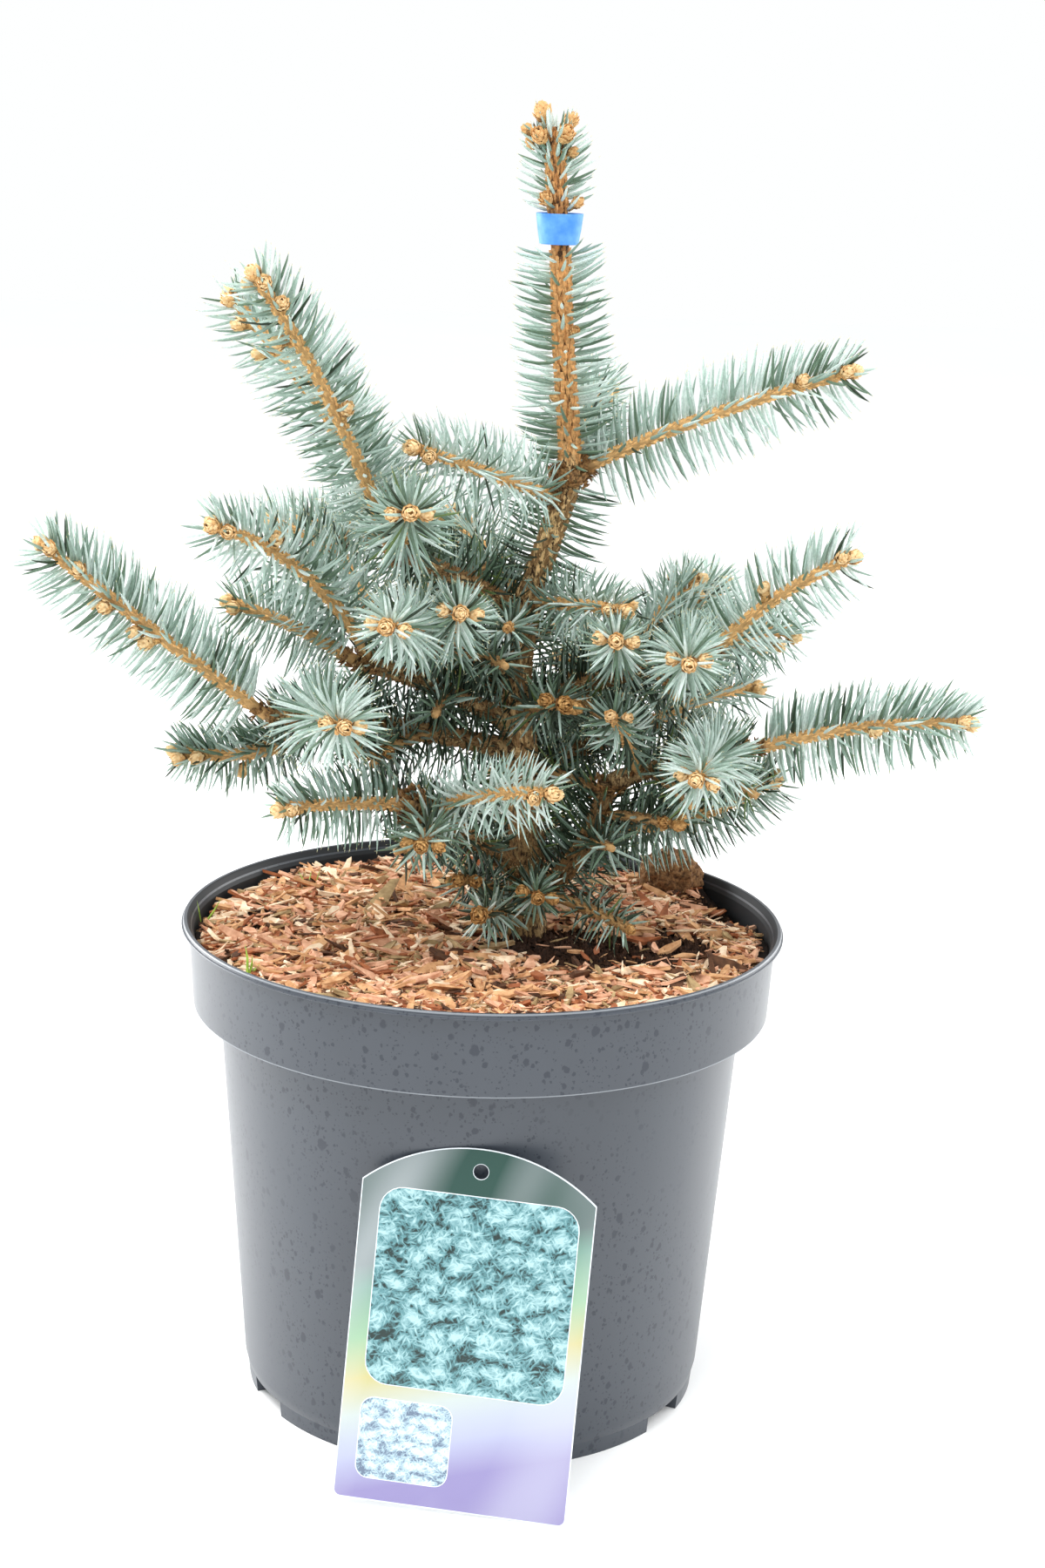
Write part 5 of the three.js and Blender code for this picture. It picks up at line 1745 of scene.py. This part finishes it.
class CardSettings(PropertyGroup):
    """The care card that leans on the pot."""

    width: length("Width", "Width of the card", 92 * MM)
    shoulder: length("Shoulder", "Height of the card's straight sides", 127 * MM)
    arch: length("Arch", "Height of the arch over the shoulder", 17 * MM)
    corner: length("Corner", "Radius of the lower corners", 2.5 * MM)
    hole: length("Hole", "Radius of the hole", 3 * MM)
    hole_drop: length("Hole drop", "How far the hole's middle is under the arch's top", 9 * MM)
    thickness: length("Thickness", "Thickness of the card", 0.8 * MM)
    heading: angle("Heading", "Turn of the card round the pot", -8)
    lean: angle("Lean", "Lean of the card against the pot", 10)
    roll: angle("Roll", "Turn of the card in its own plane", -2.5)
    side_shift: length("Side shift", "How far the card stands to the right", 11.7 * MM)


def arc(middle_x, middle_y, radius, start, end, steps):
    """Points along an arc, in degrees."""
    turns = np.radians(np.linspace(start, end, steps + 1))
    return [(middle_x + radius * math.cos(turn), middle_y + radius * math.sin(turn))
            for turn in turns]


def card_outline(card):
    """The card's outline: two round corners, straight sides and an arch."""
    half = card.width / 2
    arch_radius = (half ** 2 + card.arch ** 2) / (2 * card.arch)
    arch_middle = card.shoulder + card.arch - arch_radius
    opening = math.degrees(math.asin(half / arch_radius))
    return (arc(-half + card.corner, card.corner, card.corner, 180, 270, 6)
            + arc(half - card.corner, card.corner, card.corner, 270, 360, 6)
            + arc(0, arch_middle, arch_radius, 90 - opening, 90 + opening, 32))


def rounded_outline(left, low, right, high, corner):
    """A rectangle with round corners."""
    return (arc(left + corner, low + corner, corner, 180, 270, 6)
            + arc(right - corner, low + corner, corner, 270, 360, 6)
            + arc(right - corner, high - corner, corner, 0, 90, 6)
            + arc(left + corner, high - corner, corner, 90, 180, 6))


def card_place():
    """Where the card's own plane stands: on the floor, turned and leaning on the pot."""
    card = bpy.context.scene.spruce_card
    pot = bpy.context.scene.spruce_pot
    rise = (card.shoulder + card.arch) * math.cos(card.lean) - 2 * MM
    slope = (pot.body_top - pot.body_foot) / (pot.band_level - pot.body_level)
    wall = pot.body_foot + (rise - pot.body_level) * slope
    stand_off = wall + 0.3 * MM + rise * math.tan(card.lean)
    corner_drop = (card.width / 2 - card.corner) * math.sin(-card.roll) * math.cos(card.lean)
    local = (Matrix.Translation((card.side_shift, -stand_off, corner_drop))
             @ Matrix.Rotation(math.radians(90) - card.lean, 4, "X")
             @ Matrix.Rotation(card.roll, 4, "Z"))
    return Matrix.Rotation(card.heading, 4, "Z") @ local


def sheet_mesh(outline, thickness, lift=0.0, holes=()):
    """A flat sheet with an outline and holes, in the card's plane, with its own UV map."""
    card = bpy.context.scene.spruce_card
    bm = bmesh.new()
    for ring in (outline, *holes):
        points = [bm.verts.new((x, y, lift)) for x, y in ring]
        for pair in zip(points, points[1:] + points[:1]):
            bm.edges.new(pair)
    bmesh.ops.remove_doubles(bm, verts=bm.verts, dist=0.001 * MM)
    bmesh.ops.triangle_fill(bm, edges=bm.edges[:], use_beauty=True, normal=(0, 0, 1))
    made = bmesh.ops.extrude_face_region(bm, geom=bm.faces[:])
    moved = [item for item in made["geom"] if isinstance(item, bmesh.types.BMVert)]
    bmesh.ops.translate(bm, verts=moved, vec=(0, 0, thickness))
    bmesh.ops.recalc_face_normals(bm, faces=bm.faces)
    layer = bm.loops.layers.uv.new("card")
    for face in bm.faces:
        for loop in face.loops:
            loop[layer].uv = (loop.vert.co.x / card.width + 0.5, loop.vert.co.y / card.width)
    bmesh.ops.transform(bm, matrix=card_place(), verts=bm.verts)
    return bm


def uv_node(tree, scale=(1.0, 1.0, 1.0), turn=0.0, shift=None):
    """The card's own map, shifted by a socket, turned by degrees and stretched."""
    place = add_node(tree, "ShaderNodeUVMap", uv_map="card").outputs["UV"]
    if shift is not None:
        place = vector_node(tree, "ADD", place, shift)
    angles = (0.0, 0.0, math.radians(turn))
    mapping = add_node(tree, "ShaderNodeMapping", {"Vector": place, "Rotation": angles})
    return vector_node(tree, "MULTIPLY", mapping.outputs["Vector"], scale)


def strokes_node(tree, scale, turn, shift, detail=3.0):
    """Noise drawn out into strokes along one direction of the card."""
    place = uv_node(tree, scale, turn, shift)
    return pattern_node(tree, "Noise", place, 1.0, Detail=detail)["Fac"]


# The print's ground from the card's foot to its top: place and colour
GROUND_STOPS = ((0.0, 134, 126, 172), (0.16, 166, 170, 196), (0.34, 180, 190, 188),
                (0.5, 184, 176, 118), (0.68, 112, 162, 110), (0.9, 58, 122, 98),
                (1.0, 28, 66, 58))


def card_ground_finish():
    """Printed ground: soft green, cream and violet, with faint pale sweeps."""
    material, tree, shader = start_finish("card_ground", 0.24, 0.5)
    across, up, _ = split_node(tree, uv_node(tree))
    climb = math_node(tree, "MULTIPLY_ADD", across, -0.3, up)
    ground = ramp_node(tree, climb, [(at, srgb(*tint)) for at, *tint in GROUND_STOPS])
    sweeps = strokes_node(tree, (2.2, 0.5, 1.0), 24, None, 1.0)
    bands = math_node(tree, "MULTIPLY", math_node(tree, "SUBTRACT", sweeps, 0.45), 1.6, clamp=True)
    tint = mix_colours(tree, bands, ground, srgb(212, 216, 222))
    tree.links.new(tint, shader.inputs["Base Color"])
    return material


def card_panel_finish(name, dark, middle, light, scale):
    """A printed panel of frosty brush strokes that fan to both sides, in tufts on a dark ground."""
    material, tree, shader = start_finish(name, 0.24, 0.5)
    drift = pattern_node(tree, "Noise", uv_node(tree), scale * 0.7, Detail=3.0)["Color"]
    shift = vector_node(tree, "SCALE", drift, 0.9 / scale)
    strokes = [strokes_node(tree, (scale * 9, scale * 2.2, 1.0), turn, shift)
               for turn in (38, -34, 82)]
    place = uv_node(tree, (1.0, 1.7, 1.0), 0.0, shift)
    tufts = pattern_node(tree, "Voronoi", place, scale, Randomness=1.0)["Distance"]
    hollow = math_node(tree, "MULTIPLY", tufts, -0.5)
    mixed = math_node(tree, "MULTIPLY_ADD", greatest(tree, strokes), 1.25, hollow)
    tint = ramp_node(tree, mixed, ((0.26, dark), (0.42, middle), (0.66, light)))
    tree.links.new(tint, shader.inputs["Base Color"])
    return material


# The print's panels in millimetres: left, low, right and high side, corner, the strokes' scale,
# and the dark, middle and light colour
CARD_PANELS = {
    "card_panel_large": ((-38, 47, 40, 125), 9, 9, ((18, 42, 40), (86, 136, 142), (166, 202, 206))),
    "card_panel_small": ((-38, 9, -2, 41), 5, 15, ((96, 112, 134), (156, 182, 196), (216, 228, 232))),
}
# The thickness of a printed layer, the plain edge round the ground and the border round a panel
PRINT_LAYER, CARD_EDGE, PANEL_RIM = 0.05 * MM, 0.4 * MM, 0.35 * MM


class SPRUCE_OT_card(Operator):
    """Builds the arched care card with a plain printed pattern"""

    bl_idname = "spruce.card"
    bl_label = "Card"

    def execute(self, context):
        card = context.scene.spruce_card
        arch_top = card.shoulder + card.arch
        hole = arc(0, arch_top - card.hole_drop, card.hole, 0, 360, 24)[:-1]
        white = mottled_finish("card_white", srgb(212, 220, 226), srgb(232, 238, 242), 90, 0.25)
        bm = sheet_mesh(card_outline(card), card.thickness, 0.0, (hole,))
        mesh_piece("card_sheet", bm, white, ("care_card",), smooth=False)
        front = card.thickness
        inset = [(x * (1 - 2 * CARD_EDGE / card.width),
                  CARD_EDGE + y * (1 - 2 * CARD_EDGE / arch_top)) for x, y in card_outline(card)]
        wide_hole = arc(0, arch_top - card.hole_drop, card.hole + 0.2 * MM, 0, 360, 24)[:-1]
        bm = sheet_mesh(inset, PRINT_LAYER, front, (wide_hole,))
        mesh_piece("card_ground", bm, card_ground_finish(), smooth=False)
        for name, (box, corner, scale, tones) in CARD_PANELS.items():
            finish = card_panel_finish(name, *(srgb(*tone) for tone in tones), scale)
            left, low, right, high = (side * MM for side in box)
            border = (left - PANEL_RIM, low - PANEL_RIM, right + PANEL_RIM, high + PANEL_RIM)
            bm = sheet_mesh(rounded_outline(*border, corner * MM + PANEL_RIM), PRINT_LAYER,
                            front + PRINT_LAYER)
            mesh_piece(name + "_border", bm, white, smooth=False)
            bm = sheet_mesh(rounded_outline(left, low, right, high, corner * MM), PRINT_LAYER,
                            front + 2 * PRINT_LAYER)
            mesh_piece(name, bm, finish, smooth=False)
        return {"FINISHED"}


# The stage


# The lights: place, size, the power that they take, and their share of it. They aim at one point
LIGHTS = {
    "key": ((-0.45, -0.55, 1.8), 1.1, "key", 1.0),
    "fill": ((1.1, -0.5, 1.3), 1.2, "key", 0.35),
    "back_left": ((-1.5, 0.75, 0.5), 1.2, "back", 1.75),
    "back_right": ((1.5, 0.9, 0.5), 1.2, "back", 0.8),
}
LIGHT_AIM = Vector((0, 0, 0.25))


class SPRUCE_OT_stage(Operator):
    """Sets the floor, the soft lights and the camera"""

    bl_idname = "spruce.stage"
    bl_label = "Stage"

    def execute(self, context):
        stage = context.scene.spruce_stage
        self.floor(stage)
        self.lights(context, stage)
        self.camera(context, stage)
        return {"FINISHED"}

    def floor(self, stage):
        """A wide plain floor."""
        bm = bmesh.new()
        bmesh.ops.create_grid(bm, x_segments=1, y_segments=1, size=stage.floor_size / 2)
        floor = new_object("floor", new_mesh("floor", bm))
        tint = stage.floor
        finish = mottled_finish("floor", darker(tint, 0.99), tint, 3, 0.9, 0.1)
        floor.data.materials.append(finish)

    def lights(self, context, stage):
        """Soft light from all round, a large light above and in front, and a pale glow behind."""
        world = bpy.data.worlds.new("surroundings")
        world.use_nodes = True
        background = world.node_tree.nodes["Background"]
        background.inputs["Color"].default_value = (*stage.surroundings, 1.0)
        background.inputs["Strength"].default_value = stage.glow
        context.scene.world = world
        context.scene.view_settings.view_transform = "Standard"
        for name, (place, size, power, part) in LIGHTS.items():
            lamp = bpy.data.lights.new(name, "AREA")
            lamp.size = size
            lamp.energy = getattr(stage, power) * part
            light = new_object(name, lamp)
            light.location = place
            aim = LIGHT_AIM - light.location
            light.rotation_euler = aim.to_track_quat("-Z", "Y").to_euler()

    def camera(self, context, stage):
        """The camera at the photograph's place and angle."""
        ahead = Vector((math.sin(stage.yaw) * math.cos(stage.pitch),
                        math.cos(stage.yaw) * math.cos(stage.pitch), -math.sin(stage.pitch)))
        right = ahead.cross(Vector((0, 0, 1))).normalized()
        up = right.cross(ahead)
        turned_right = right * math.cos(stage.roll) + up * math.sin(stage.roll)
        turned_up = up * math.cos(stage.roll) - right * math.sin(stage.roll)
        lens = bpy.data.cameras.new("camera")
        lens.lens = stage.lens
        lens.clip_start, lens.clip_end = 0.01, 50
        camera = new_object("camera", lens)
        columns = Matrix((turned_right, turned_up, -ahead)).transposed().to_4x4()
        place = Vector((0, -stage.distance, stage.eye_level))
        camera.matrix_world = Matrix.Translation(place) @ columns
        context.scene.camera = camera


class SPRUCE_PT_parts(Panel):
    """The parts of the potted spruce, in the order they are built"""

    bl_label = "Potted Blue Spruce"
    bl_idname = "SPRUCE_PT_parts"
    bl_space_type = "VIEW_3D"
    bl_region_type = "UI"
    bl_category = "Spruce"

    def draw(self, context):
        """Lists the operators."""
        column = self.layout.column()
        for part in PARTS:
            column.operator(part.bl_idname)


PARTS = (SPRUCE_OT_stage, SPRUCE_OT_pot, SPRUCE_OT_soil, SPRUCE_OT_mulch, SPRUCE_OT_trunk,
         SPRUCE_OT_boughs, SPRUCE_OT_twigs, SPRUCE_OT_needles, SPRUCE_OT_buds, SPRUCE_OT_ring,
         SPRUCE_OT_card)
SETTINGS = {
    "spruce_pot": PotSettings,
    "spruce_mulch": MulchSettings,
    "spruce_bark": BarkSettings,
    "spruce_needles": NeedleSettings,
    "spruce_card": CardSettings,
    "spruce_stage": StageSettings,
}


def register():
    """Registers the classes, and gives each scene the settings."""
    for group in (*SETTINGS.values(), *PARTS, SPRUCE_PT_parts):
        bpy.utils.register_class(group)
    for name, group in SETTINGS.items():
        setattr(bpy.types.Scene, name, PointerProperty(type=group))


def unregister():
    """Takes back what register did."""
    for name in SETTINGS:
        delattr(bpy.types.Scene, name)
    for group in reversed((*SETTINGS.values(), *PARTS, SPRUCE_PT_parts)):
        bpy.utils.unregister_class(group)


def main():
    """Builds the whole object."""
    register()
    for part in PARTS:
        getattr(bpy.ops.spruce, part.bl_idname.split(".")[1])()


if __name__ == "__main__":
    main()
